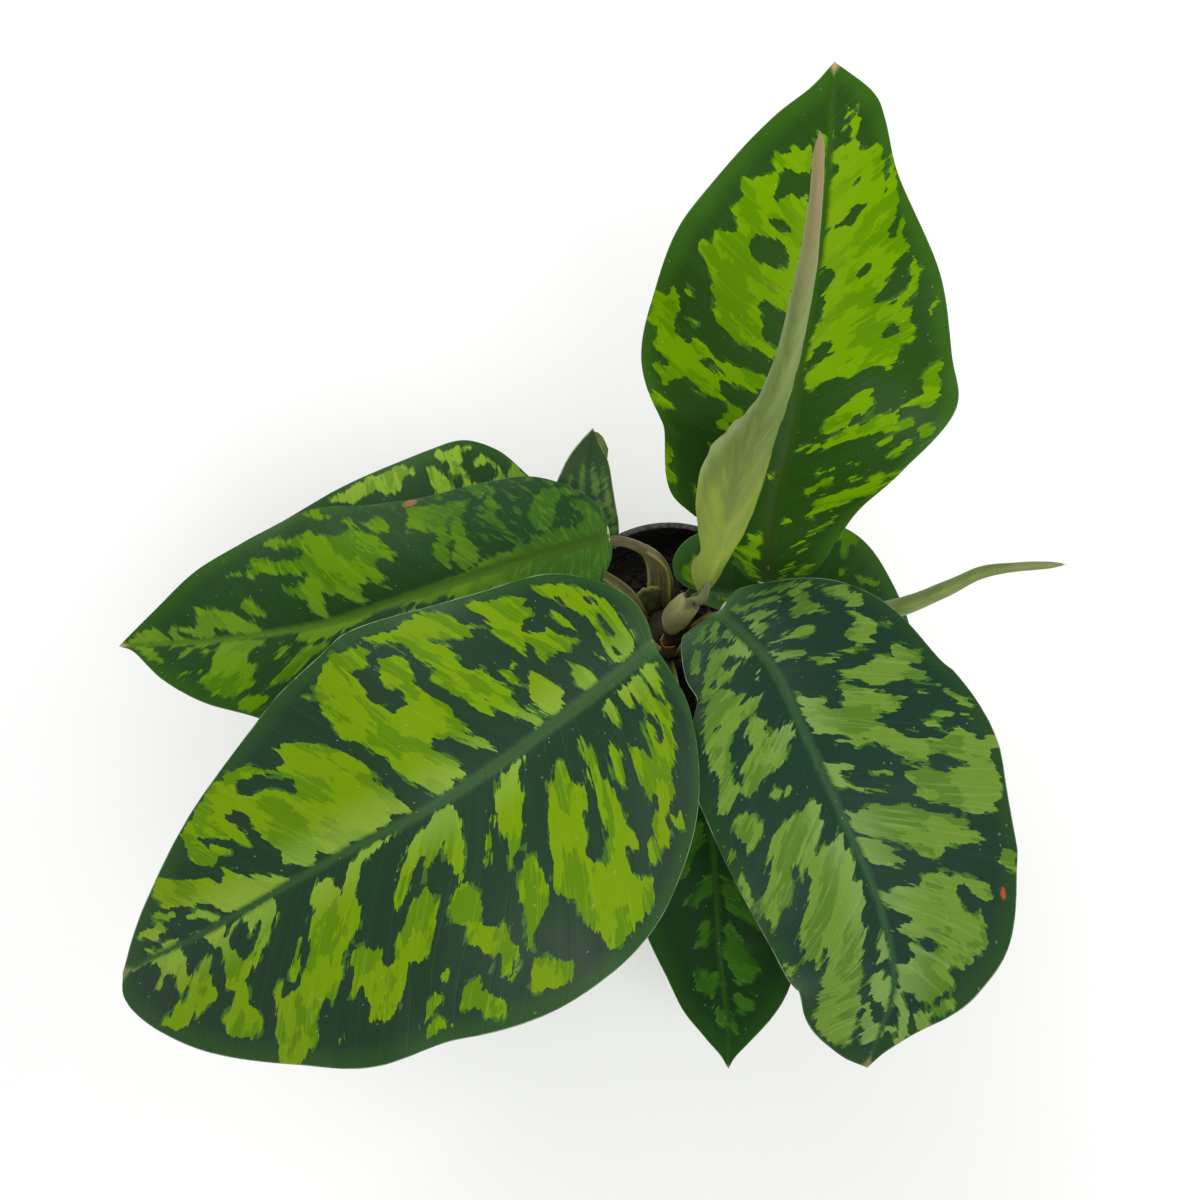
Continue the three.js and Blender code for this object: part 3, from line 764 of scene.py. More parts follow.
def undersideSkin(name, **changes):
    tone = {**underTones, **changes}
    skin, tree = newSkin(name)
    place = addNode(tree, "UVMap").outputs[0]
    share, fromRib, fromMargin = (kept(tree, value) for value in ("share", "fromRib", "fromMargin"))
    cloud = grainAlong(tree, place, 0.09, 0.05)
    streak = grainAlong(tree, place, 2.2, 0.04)
    color = blendColors(tree, between(tree, cloud, 0.35, 0.65), tone["fieldDeep"], tone["field"])
    height = swayed(tree, share, cloud, 0.7)
    inLow = between(tree, height, tone["lowEnds"] + 0.12, tone["lowEnds"] - 0.12)
    color = blendColors(tree, inLow, color, tone["low"])
    color = blendColors(tree, between(tree, streak, 0.5, 0.75, (0.0, 0.5)), color, tone["vein"])
    nearVein = veinsOn(tree, product(tree, share, math.pi * tone["veins"]), 0.2, 0.02)
    color = blendColors(tree, product(tree, nearVein, tone["veinShows"]), color, tone["vein"])
    nearRib = between(tree, fromRib, 1.8, 0.6, (0.0, tone["ribShows"]))
    color = blendColors(tree, nearRib, color, tone["vein"])
    nearMargin = between(tree, fromMargin, 0.8, 0.3, (0.0, tone["marginShows"]))
    color = blendColors(tree, nearMargin, color, tone["margin"])
    color = blendColors(tree, between(tree, share, tone["tipFrom"], 0.985), color, tone["tip"])
    relief = sums(tree, "MULTIPLY_ADD", nearVein, 1.0, product(tree, streak, 0.6))
    return finishSkin(skin, color, tone["roughness"], relief, 0.4, 0.25)


def stalkSkin(name, body, flank, ridge):
    skin, tree = newSkin(name)
    place = addNode(tree, "UVMap").outputs[0]
    streak = grainAlong(tree, place, 0.06, 2.4)
    blotch = grainAlong(tree, place, 0.16, 0.3)
    color = blendColors(tree, between(tree, blotch, 0.35, 0.68), flank, body)
    color = blendColors(tree, between(tree, streak, 0.5, 0.72, (0.0, 0.4)), color, ridge)
    color = blendColors(tree, between(tree, kept(tree, "share"), 0.22, 0.0, (0.0, 0.6)), color, flank)
    color = blendColors(tree, between(tree, kept(tree, "scar"), 0.2, 0.9, (0.0, 0.75)), color, ridge)
    return finishSkin(skin, color, 0.48, streak, 0.35, 0.2)


def flapSkin(name, body, deep, edge):
    # old sheath, paler at its free edge
    skin, tree = newSkin(name)
    blotch = noiseOn(tree, addNode(tree, "TexCoord").outputs["Object"], 260, 4)
    up = addNode(tree, "SeparateXYZ", {0: addNode(tree, "UVMap").outputs[0]}).outputs[0]
    color = blendColors(tree, between(tree, blotch, 0.38, 0.6), deep, body)
    color = blendColors(tree, between(tree, up, 0.84, 0.96, (0.0, 0.9)), color, edge)
    return finishSkin(skin, color, 0.7, blotch, 0.4, 0.2)


# what a leaf and each half of its blade have unless they say otherwise
usualLeaf = {
    "finish": "leaf",
    "under": undersideSkin("leafUnderside"),
    "stalkSkin": stalkSkin("oliveStalk", "666a36", "524e2a", "9a9650"),
    "groove": 0.35,
    "quilt": 0.22,
    "scars": [],
    "wing": 1.3,
    "flaps": [],
}
usualHalf = {
    "lift": [12, 10, 8],
    "bend": [6, 5, 5],
    "wave": {"height": 0, "length": 1, "start": 0},
    "patches": [],
    "gaps": [],
}

# Each leaf: its node, its place on the crown, the points of its stalk and midrib and the way its upper
# face looks, as in the frame. Each half: lift from the midrib, bend or roll, margin, and its patches. A
# patch is an outline in hundredths of the rows (base to tip) and of the way from midrib to margin, a
# gap is a hole in the patches. A scar is a row, a way out and a size.

frontLeftLeaf = {
    "name": "frontLeftLeaf",
    "node": "leaf_front_left",
    "seed": 1,
    "upper": camouflageSkin("frontLeftSkin", marginShows=0.85),
    "slot": 5,
    "stalk": [(-9, -20, 110), (-11, -33, 148)],
    "rib": [
        (-11, -36, 160), (-41, -65, 178), (-76, -92, 184), (-106, -106, 176), (-147, -125, 156),
        (-186, -139, 130),
    ],
    "face": [(0.1, -0.1, 1), (0, -0.1, 1), (-0.1, -0.2, 1)],
    "left": {
        "bend": [5, 4, 4],
        "wave": {"height": 1.2, "length": 74, "start": 0.3},
        "margin": [
            (0, 0), (3, 10), (10, 26), (32, 52), (60, 67), (88, 70), (115, 64), (145, 60), (172, 48),
            (198, 34), (218, 19), (226, 8), (224, 0),
        ],
        "patches": [
            [(9, 22), (12, 30), (16, 38), (17, 30), (17, 10), (13, 8), (10, 15)],
            [(15, 50), (17, 38), (18, 30), (19, 10), (21, 7), (24, 9), (23, 20), (22, 30), (20.5, 38),
             (21, 47), (23, 48), (23, 38), (24, 31), (25, 35), (25, 42), (26, 47), (28, 36), (29.5, 31),
             (30, 46), (29, 60), (30, 68), (29.5, 76), (28.5, 80), (27.5, 71), (26, 72), (24, 72),
             (23, 62), (21, 62)],
            [(23, 8), (23.5, 14), (25, 20), (26, 18), (27, 9), (26, 7)],
            [(24, 91), (25, 88), (26, 82), (26, 76), (25, 79), (24, 82)],
            [(27, 85), (28, 84), (29.5, 78), (29, 71), (28, 73), (27, 79)],
            [(30.5, 82), (32, 78), (31.5, 70), (30.5, 71), (30, 76)],
            [(29, 7), (29, 15), (30, 22), (31, 17), (31, 9), (30, 6)],
            [(31, 32), (31.5, 38), (32.5, 43), (33.5, 37), (33.5, 30), (34, 26), (33.5, 17), (32.3, 25)],
            [(32, 84), (33, 91), (35, 93), (36, 91), (38, 93), (39.3, 92), (40, 86), (41, 79), (42, 72),
             (42.5, 66), (44, 63), (45, 58), (44.7, 50), (45, 42), (44.5, 30), (44.2, 20), (43.6, 22),
             (42.8, 17), (42, 15), (41, 17), (41, 25), (38.6, 31), (39.2, 40), (40, 38), (40.6, 54),
             (39, 61), (38, 65), (37.5, 55), (37.7, 30), (37.5, 11), (36.5, 18), (36, 30), (34.5, 42),
             (34, 56), (32.5, 66), (33, 70), (35.2, 62), (35.5, 70), (35, 74), (34, 80)],
            [(42.5, 93), (44, 93), (46, 89), (47, 82), (47.3, 72), (48, 60), (48.8, 50), (48, 43),
             (47, 42), (46, 50), (45.3, 56), (45.6, 64), (46.8, 69), (47, 76), (45.5, 80), (43, 86)],
            [(47.8, 90), (48.5, 95), (49.5, 93), (51, 88), (52.5, 88), (52.5, 80), (51, 76), (50.5, 82),
             (49, 87)],
            [(48.3, 83), (49.4, 80), (49.6, 72), (51, 68), (52.5, 63), (53.2, 56), (54.5, 52), (55.5, 45),
             (55.7, 35), (57, 25), (58, 15), (58.5, 20), (59.5, 29), (59.9, 20), (61, 30), (61.5, 40),
             (62.2, 33), (62.5, 22), (62.3, 10), (61, 8), (59.5, 3), (58, 3), (56.5, 8), (56, 20),
             (55, 32), (54.5, 39), (53, 45), (52, 50), (52, 57), (51, 60), (49.7, 61), (49.5, 66),
             (48.3, 71)],
            [(47.7, 30), (48.5, 37), (49.7, 42), (50.3, 33), (50.8, 27), (51.5, 15), (50.5, 5), (47, 4),
             (48.2, 9), (47.8, 20)],
            [(51.8, 37), (52.3, 37), (52.8, 27), (52.5, 16), (52, 20)],
            [(53, 94), (57, 95), (56.5, 90), (55, 88)],
            [(54.5, 80), (56, 88), (57.5, 89), (56.5, 80), (55.5, 77)],
            [(54, 74), (55, 74), (55, 70), (54, 70)],
            [(56.5, 50), (56.6, 58), (57.5, 63), (59.3, 61), (59.7, 70), (61, 79), (62.5, 82), (64, 80),
             (64.3, 72), (65.5, 65), (66.5, 69), (67, 67), (66.5, 60), (67.5, 50), (66, 48), (63.5, 52),
             (63.2, 59), (61.5, 58), (60.7, 48), (60.5, 40), (58.8, 33), (57.5, 38)],
            [(66.7, 33), (67.2, 42), (68.5, 50), (68, 60), (68.3, 67), (70, 70), (70.5, 78), (70, 85),
             (71, 92), (72, 100), (74, 100), (75, 90), (75.5, 80), (75.7, 68), (76.5, 62), (76, 56),
             (75.3, 63), (74.5, 63), (73.5, 58), (72.7, 50), (72.8, 42), (73.5, 30), (73.5, 22),
             (74.3, 14), (73.8, 8), (72.5, 10), (71, 16), (70, 22), (70, 8), (67, 3), (64.5, 2.5),
             (68, 9), (68, 25)],
            [(74, 60), (74.6, 56), (75, 45), (74.6, 34), (74, 35)],
            [(67, 88), (67.5, 90), (68, 87), (67.3, 85)],
            [(77, 80), (78, 86), (80, 87), (81.5, 84), (82.2, 75), (81.5, 68), (81.5, 58), (83, 53),
             (83.5, 44), (84.2, 34), (85, 24), (86, 20), (87, 15), (88.5, 5), (86.5, 3), (84, 5),
             (85, 15), (83.5, 26), (81.5, 38), (80.5, 30), (80, 22), (80.5, 15), (81.5, 22), (82.5, 12),
             (84, 3), (81, 2), (79.5, 3), (78.5, 15), (79, 28), (79.5, 40), (80.5, 50), (79.5, 64),
             (78.5, 68)],
            [(84, 62), (85.5, 70), (86.5, 76), (86.7, 84), (88, 92), (90.5, 92), (90, 82), (89.5, 75),
             (88.7, 68), (88, 60), (88.5, 50), (89, 58), (90, 50), (90, 42), (91, 36), (92.5, 38),
             (93.5, 30), (94.5, 18), (96, 5), (97.5, 20), (98, 30), (99, 10), (97, 0), (92, 2),
             (91.5, 10), (90, 22), (89.5, 35), (88.5, 42), (87.5, 30), (86.3, 27), (86.3, 35), (85, 48),
             (83.6, 58)],
            [(92.5, 56), (93.2, 58), (93.5, 50), (93, 40), (92.5, 44)],
        ],
        "gaps": [[(27.5, 61), (28, 66), (29, 65), (29, 60), (28, 59)]],
    },
    "right": {
        "bend": [5, 4, 4],
        "wave": {"height": 1.5, "length": 82, "start": 0},
        "margin": [
            (0, 0), (-4, 10), (-3, 20), (4, 31), (17, 41), (42, 49), (70, 59), (92, 61), (118, 56),
            (142, 47), (172, 33), (204, 15), (224, 0),
        ],
        "patches": [
            [(12, 20), (14, 10), (17, 5), (20, 5), (22, 10), (21.5, 18), (21, 25), (20, 35), (19, 48),
             (19.5, 58), (20.5, 65), (20, 72), (21, 78), (22, 82), (22, 88), (20, 91), (18, 86),
             (15.5, 83), (14.5, 76), (12.5, 72), (12, 62), (12, 52), (12.5, 40), (11.5, 30)],
            [(22.7, 10), (24, 13), (24.8, 22), (24, 22), (23, 16)],
            [(29, 3), (32, 4), (32, 10), (31, 18), (29.5, 26), (28.8, 22), (28.3, 12)],
            [(35, 12), (36.5, 8), (38, 3), (40, 3), (40.3, 10), (39.7, 18), (38, 22), (36.5, 28),
             (35.5, 30), (34.8, 25)],
            [(35, 40), (35.5, 35), (36.5, 38), (38, 32), (38.5, 27), (39.2, 28), (39, 34), (37.7, 40),
             (36.5, 39), (35.6, 45)],
            [(41.8, 4), (43.5, 2), (43.3, 15), (43.5, 30), (44.5, 25), (45, 19), (45.2, 28), (45, 50),
             (44, 57), (43, 58), (43, 68), (42.3, 76), (42.5, 84), (44, 89), (46, 92), (45, 94), (42, 90),
             (38.5, 92), (36, 97), (34, 92), (33.5, 86), (34, 80), (32.5, 70), (34, 72), (35.5, 66),
             (37, 72), (38, 73), (39, 77), (39.5, 72), (38.8, 66), (39.5, 60), (40.5, 52), (40, 47),
             (39.3, 46), (40.2, 36), (40.2, 26), (41.2, 18)],
            [(24.5, 37), (26, 36), (28, 33), (30, 34), (30.2, 40), (31.5, 33), (32.7, 30), (32.5, 36),
             (30.8, 44), (31.2, 50), (32, 46), (33, 42), (33, 50), (32.5, 66), (31.5, 70), (31, 78),
             (31, 94), (29.5, 92), (27, 90), (25.5, 87), (24, 82), (25.5, 77), (24.5, 73), (26, 68),
             (28, 65), (29, 60), (29, 53), (27.5, 53), (26, 55), (25.5, 48)],
            [(23, 46), (24, 50), (23.7, 60), (23, 65), (22, 60), (22, 52)],
            [(49.3, 5), (50, 12), (50.5, 18), (51, 25), (52, 30), (53, 28), (53.5, 15), (54, 6), (55, 4),
             (55.5, 8), (57, 3), (58.5, 4), (58.5, 18), (58, 35), (58.5, 48), (59, 57), (58.3, 66),
             (58, 75), (57, 82), (56, 90), (54, 93), (51.5, 96), (49, 92), (46.5, 90), (45.2, 84),
             (48, 82), (48.5, 78), (51.5, 82), (51, 76), (52, 70), (52.5, 64), (51.5, 57), (51.5, 52),
             (50, 51), (49, 52), (48.5, 58), (49.5, 64), (49, 68), (47.5, 72), (46.5, 79), (45, 77),
             (44, 72), (44.5, 66), (46.3, 58), (47, 50), (46.5, 42), (47, 36), (48.3, 30), (48.8, 20)],
            [(57.5, 86), (58.3, 86), (58.4, 90), (57.7, 89)],
            [(62, 3), (64, 6), (66, 2), (72, 1), (73, 10), (74, 4), (75.5, 10), (76, 18), (75, 25),
             (74.5, 35), (74, 45), (73, 62), (72.5, 70), (74, 76), (74.5, 70), (74.7, 58), (75.7, 47),
             (76.2, 60), (77, 70), (78, 82), (78.5, 72), (77.5, 62), (77.7, 54), (79, 58), (80, 56),
             (81, 62), (81.5, 72), (80, 86), (79, 98), (72, 98), (69, 93), (67.5, 84), (66.3, 73),
             (65, 70), (64, 80), (62.5, 75), (61.3, 65), (60.3, 55), (60.3, 42), (61, 30), (61.3, 18)],
            [(77.5, 4), (80, 1), (84, 4), (85, 15), (85, 28), (86, 40), (87.3, 52), (88, 62), (89, 68),
             (89.5, 76), (88, 74), (88, 93), (86.5, 100), (85, 92), (84.8, 80), (83.5, 66), (82.3, 52),
             (81.7, 41), (80.5, 40), (79.7, 56), (79.5, 34), (78.5, 22)],
            [(85.5, 5), (87, 8), (86.7, 18), (88, 26), (88.5, 36), (87.5, 38), (86.3, 25)],
            [(88.5, 45), (89.5, 50), (90, 60), (90.5, 75), (89.5, 70), (88.5, 58)],
            [(91.5, 41), (92.5, 45), (93.5, 50), (93.5, 62), (94.5, 78), (94, 88), (92.5, 75), (91, 60)],
            [(89, 6), (91, 14), (92, 10), (93, 2), (96, 3), (95.5, 12), (93.5, 14), (92.5, 18), (90, 12)],
            [(95, 18), (95.8, 30), (96, 45), (95.5, 75), (95, 40), (94.5, 30)],
        ],
        "gaps": [
            [(17.5, 25), (19, 30), (18.5, 38), (17.5, 48), (16.5, 52), (16, 42), (16.5, 30)],
            [(19.2, 12), (20, 10), (20.4, 14), (19.8, 19), (19.2, 16)],
            [(15.5, 60), (16.5, 68), (15.5, 74), (14, 72), (14.5, 66)],
            [(67, 52), (67.7, 52), (68.3, 60), (69, 66), (70.5, 72), (71.5, 80), (70.5, 86), (69, 82),
             (67.5, 75), (66.5, 68), (66.2, 58)],
        ],
    },
}
growLeaf(frontLeftLeaf)

leftLeaf = {
    "name": "leftLeaf",
    "node": "leaf_left",
    "seed": 2,
    "upper": camouflageSkin(
        "leftSkin", ground="1d4018", groundWarm="2a530f", patch="5f8806", patchDeep="48740a",
        patchPale="6f9424", patchAtRib="6a8c2e", patchAtBase="3b6420", groundAtBase="20431e",
        opensFrom=0.42, rib="3c5e1c", ribTip="4e721a", ribHalfWidth=2.8, margin="7f9466", tip="a3a06c",
        fringe=7, softness=0.55, mottle=0.28, gloss=0.1,
    ),
    "stalkSkin": stalkSkin("brownStalk", "6b5c32", "54462b", "8f9340"),
    "slot": 2,
    "wing": 1.7,
    "stalk": [(-3, 13, 97), (-7, 15, 112), (-16, 16, 124)],
    "flaps": [
        {
            "foot": [(-12, 2, 76), (-3, 7, 76)],
            "edge": [(-16, 10, 84), (-5, 14, 90)],
            "bow": 1.2,
            "skin": flapSkin("sheathWing", "5c6130", "434826", "a9a45a"),
        },
    ],
    "rib": [
        (-26, 15, 134), (-60, -1, 148), (-92, -14, 152), (-124, -23, 147), (-164, -24, 131),
        (-212, -20, 110),
    ],
    "face": [(0, 0, 1), (0, -0.1, 1), (0, -0.1, 1)],
    "scars": [(38.6, -94, 2.6)],
    "left": {
        "wave": {"height": 1.5, "length": 66, "start": 0.2},
        "margin": [
            (0, 0), (2, 6), (8, 13), (25, 26), (55, 38), (90, 42), (120, 36), (140, 29), (160, 23),
            (180, 14), (197, 3), (206, 0),
        ],
        "patches": [
            [(1, 2), (2, 40), (5, 92), (16, 96), (20, 62), (28, 34), (38, 20), (50, 11), (58, 6), (56, 1),
             (30, 1)],
            [(25, 40), (27, 62), (30, 70), (31, 50), (29, 35)],
            [(21, 74), (24, 88), (28, 92), (28, 80), (24, 70)],
            [(33, 30), (35, 58), (38, 80), (41, 84), (41, 62), (39, 40), (37, 14)],
            [(43, 8), (44, 34), (47, 52), (50, 58), (51, 36), (48, 14)],
            [(46, 70), (48, 88), (53, 92), (54, 74), (50, 66)],
            [(53, 20), (54, 48), (57, 64), (60, 58), (59, 34), (56, 10)],
            [(62, 2), (63, 10), (66, 18), (70, 22), (72, 15), (74, 2)],
            [(66, 25), (66.5, 40), (67, 55), (68, 65), (69.5, 68), (69.5, 50), (69.5, 32), (69, 25)],
            [(67.5, 95), (71, 96), (72, 88), (71.5, 82), (69, 78), (67.5, 82)],
            [(72, 70), (73, 80), (75, 88), (77, 88), (79, 82), (81, 80), (81.5, 72), (80.5, 62), (82, 52),
             (83, 40), (83.5, 30), (84, 18), (84.5, 5), (83, 1), (80, 3), (78, 12), (77, 15), (78, 30),
             (77, 38), (75, 45), (74, 55), (72.5, 62)],
            [(82.5, 62), (84, 70), (85, 83), (85.5, 75), (84, 65), (83, 60)],
            [(71.5, 35), (72.5, 38), (73, 30), (74, 20), (73, 15), (72, 25)],
            [(88, 48), (88.7, 38), (88.8, 25), (89.5, 15), (88.5, 14), (88, 25)],
            [(85, 32), (85.7, 30), (85.5, 25), (85, 26)],
            [(90, 70), (92, 84), (95, 80), (97, 50), (98, 20), (96.5, 8), (95, 20), (94, 44), (92, 56)],
            [(86, 8), (88, 12), (90, 8), (92, 22), (93, 10), (94, 2), (88, 1)],
        ],
    },
    "right": {
        "lift": [12, 12, 10, 8, 8],
        "bend": [8, 12, 9, 7, 6],
        "wave": {"height": 2, "length": 70, "start": 0.55},
        "margin": [
            (0, 0), (-2, 10), (4, 22), (18, 35), (40, 37), (62, 38), (85, 43), (108, 47), (130, 46),
            (150, 41), (170, 30), (188, 14), (206, 0),
        ],
        "patches": [
            [(1, 3), (2, 30), (5, 55), (9, 80), (12, 70), (13, 50), (12, 36), (15, 24), (19, 20),
             (24, 24), (28, 18), (34, 14), (40, 10), (48, 5), (52, 2), (40, 1), (20, 1)],
            [(26, 18), (27, 30), (26, 40), (24, 50), (21, 62), (17, 76), (12, 90), (10, 86), (14, 70),
             (17, 55), (20, 40), (22, 30)],
            [(47, 6), (46, 18), (43, 30), (41, 42), (38, 56), (35, 66), (37, 50), (40, 34), (41, 20),
             (44, 8)],
            [(33.5, 20), (33.5, 36), (32.5, 52), (30, 70), (26, 84), (28, 68), (31, 50), (32.4, 34)],
            [(20, 40), (22, 32), (24, 25), (26, 28), (26, 36), (24.5, 44), (22.5, 50), (20.5, 58),
             (18, 62), (20, 50)],
            [(32.3, 55), (33, 42), (33.8, 32), (34.3, 22), (34, 35), (33.7, 48), (33, 58)],
            [(36, 60), (37.5, 62), (39, 58), (40, 50), (41.5, 44), (42.5, 50), (44, 56), (46, 55),
             (45, 62), (43, 70), (41.5, 80), (41, 86), (38, 84), (33, 83), (30.3, 80), (32, 74), (34, 66)],
            [(41, 42), (41, 30), (42, 34), (44, 32), (46, 22), (47.5, 12), (48.5, 8), (48, 20),
             (46.5, 30), (44, 40), (42, 46)],
            [(46, 78), (46.5, 68), (48.5, 57), (50, 64), (49.5, 72), (48, 77)],
            [(24.5, 100), (25.5, 88), (27, 83), (29.5, 84), (29.5, 90), (28, 100)],
            [(32, 100), (33.5, 90), (35, 87), (34, 95), (33, 100)],
            [(51, 55), (51.5, 42), (52.3, 34), (53.3, 27), (54, 34), (55, 36), (56, 30), (57, 18),
             (58, 5), (58, 35), (59, 20), (60.5, 22), (61.5, 12), (62, 5), (63, 8), (64, 18), (66, 24),
             (67, 18), (68, 8), (69, 3), (70, 12), (69, 22), (70, 30), (71, 40), (69, 36), (67.5, 34),
             (66.5, 42), (68, 50), (70, 50), (72, 56), (75, 60), (76, 66), (78, 72), (75, 66), (73, 66),
             (72, 72), (67, 58), (65, 56), (64, 64), (66.5, 72), (69, 78), (71, 84), (70, 87), (68, 86),
             (66, 78), (63, 76), (61, 78), (59.5, 72), (58, 66), (55.5, 66), (53, 72), (52, 62)],
            [(72, 68), (74, 66), (74, 76), (72.5, 76)],
            [(54, 88), (56, 85), (59, 90), (60.5, 100), (56.5, 100), (57, 92)],
            [(50.5, 72), (52, 70), (53.5, 80), (52.5, 84)],
            [(78, 8), (79, 3), (80, 1), (82.5, 8), (84, 14), (84.7, 18), (85.3, 8), (86, 3), (87, 8),
             (88.5, 4), (89, 14), (89.5, 25), (91, 35), (90.5, 42), (89.5, 34), (87, 26), (86.5, 35),
             (86, 45), (85.3, 58), (84.5, 52), (83, 42), (81.5, 35), (80.5, 28), (79.5, 20)],
            [(77, 15), (78, 25), (79, 34), (78, 40), (76.5, 28), (76, 20)],
            [(92, 6), (92.6, 30), (93.4, 60), (95.5, 78), (98, 60), (98.6, 20), (97, 2), (94, 2)],
            [(89.5, 2), (90.5, 16), (91.5, 30), (91.6, 10), (91, 2)],
        ],
    },
}
growLeaf(leftLeaf)

backLeftLeaf = {
    "name": "backLeftLeaf",
    "node": "leaf_back_left",
    "seed": 3,
    "upper": camouflageSkin(
        "backLeftSkin", ground="23451f", groundWarm="2d521e", patch="86aa30", patchDeep="6a9228",
        patchPale="98b450", patchAtRib="8fac4c", sideVeins=24, ribHalfWidth=2.0, fringe=7, softness=0.5,
        gloss=0.1,
    ),
    "slot": 4,
    "stalk": [(-19, 9, 90), (-38, 21, 93)],
    "rib": [(-47, 25, 96), (-69, 23, 106), (-108, 23, 112), (-141, 27, 106), (-168, 34, 94)],
    "face": [(0, 0, 1), (0, 0, 1)],
    "left": {
        "wave": {"height": 1.5, "length": 58, "start": 0.1},
        "margin": [(0, 0), (-3, 8), (4, 20), (20, 31), (46, 35), (74, 31), (98, 20), (116, 8), (128, 0)],
        "patches": [
            [(14, 20), (17, 50), (22, 62), (24, 44), (20, 14)],
            [(28, 30), (31, 66), (37, 80), (40, 58), (36, 24), (32, 10)],
            [(44, 10), (46, 44), (52, 66), (56, 48), (52, 18)],
            [(48, 78), (54, 92), (60, 86), (57, 72)],
            [(61, 20), (64, 58), (71, 70), (74, 46), (70, 14), (66, 6)],
            [(78, 16), (81, 52), (86, 60), (87, 30), (83, 8)],
        ],
    },
    "right": {
        "wave": {"height": 1.5, "length": 64, "start": 0.6},
        "margin": [
            (0, 0), (-4, 10), (3, 26), (18, 40), (38, 46), (56, 40), (80, 29), (106, 14), (128, 0),
        ],
        "patches": [
            [(38, 56), (39.5, 48), (42, 46), (45.5, 44), (46, 50), (45.5, 58), (46, 65), (47.5, 72),
             (48, 80), (49.5, 88), (47, 88), (45, 84), (44, 78), (46, 76), (45, 70), (43.5, 64),
             (42.5, 56), (41, 56)],
            [(51, 42), (53, 40), (53, 55), (53.5, 68), (54, 78), (53, 84), (51.5, 82), (50.5, 74),
             (49, 62), (48, 50), (50, 48)],
            [(41, 92), (44, 86), (48, 84), (50, 88), (53, 90), (50, 94), (44, 94)],
            [(34.5, 62), (36.5, 62), (35, 68), (35, 75), (37, 78), (40, 72), (41.3, 74), (40.5, 80),
             (39, 86), (36, 86), (33.5, 80), (32.5, 74), (33, 68), (32.5, 64)],
            [(23, 88), (26, 72), (28, 66), (30.5, 68), (31.5, 74), (31, 80), (29.5, 88), (29, 96),
             (26, 98), (24, 96)],
            [(61, 68), (62, 62), (65, 62), (67, 66), (68, 72), (70, 70), (71.5, 66), (75, 66), (77.5, 72),
             (80, 80), (79, 90), (74, 92), (70, 88), (69, 96), (66, 92), (63, 95), (60, 94), (59, 88),
             (57, 86), (57, 80), (60, 77)],
            [(82, 50), (84, 46), (86.5, 50), (87, 60), (87.5, 75), (87, 85), (85, 78), (83, 68)],
            [(18, 20), (21, 46), (25, 40), (24, 14)],
            [(60, 12), (63, 36), (68, 44), (70, 24), (66, 6)],
        ],
    },
}
growLeaf(backLeftLeaf)

smallBackLeaf = {
    "name": "smallBackLeaf",
    "node": "leaf_back_small",
    "seed": 4,
    # its greens are greyed and dulled: painted shade and a painted reflection of the sky on a face seen
    # almost edge-on
    "upper": camouflageSkin(
        "smallBackSkinPaintedShadeAndSheen", ground="2d4833", groundWarm="36522c", patch="668638", patchDeep="54742e",
        patchPale="708858", patchAtRib="64824a", sideVeins=18, ribHalfWidth=1.2, rib="48603a",
        margin="a4b088", marginShows=1.0, tip="8b8a5c", fringe=6, softness=0.8,
    ),
    "slot": 3,
    "stalk": [(-7.5, 11, 77), (-7, 21, 83), (-10, 28, 88), (-18, 30, 93)],
    "flaps": [
        {
            "foot": [(-26.6, 45, 139.3), (-31.9, 51.3, 149)],
            "edge": [(-26.1, 48.7, 142), (-29, 51.2, 147)],
            "bow": 1.0,
            "skin": flapSkin("hoodedTip", "5c6c2a", "4a5a20", "5e7c24"),
        },
    ],
    "rib": [(-28, 27, 98), (-33, 35, 118), (-34, 44, 135), (-32, 52, 149)],
    "face": [(0, -1, 0.6), (0, -1, 0.6)],
    "left": {
        "margin": [(0, 0), (-2, 5), (10, 13), (28, 14), (42, 9), (52, 4), (58, 0)],
        "patches": [
            [(6, 14), (10, 34), (38, 40), (66, 36), (84, 26), (80, 12), (50, 16), (26, 12)],
            [(8, 56), (12, 84), (34, 90), (58, 82), (72, 66), (60, 56), (34, 62)],
        ],
        "gaps": [[(28, 66), (34, 84), (44, 82), (40, 68)]],
    },
    "right": {
        "margin": [(0, 0), (-2, 5), (10, 9), (24, 10), (38, 9), (46, 7.2), (50, 5), (54, 2.4), (58, 0)],
        "patches": [
            [(4, 18), (8, 44), (36, 50), (62, 46), (82, 36), (78, 16), (52, 22), (28, 20)],
            [(10, 66), (14, 90), (40, 92), (64, 84), (76, 72), (58, 68), (32, 72)],
        ],
        "gaps": [[(40, 26), (46, 44), (54, 40), (50, 28)]],
    },
}
growLeaf(smallBackLeaf)

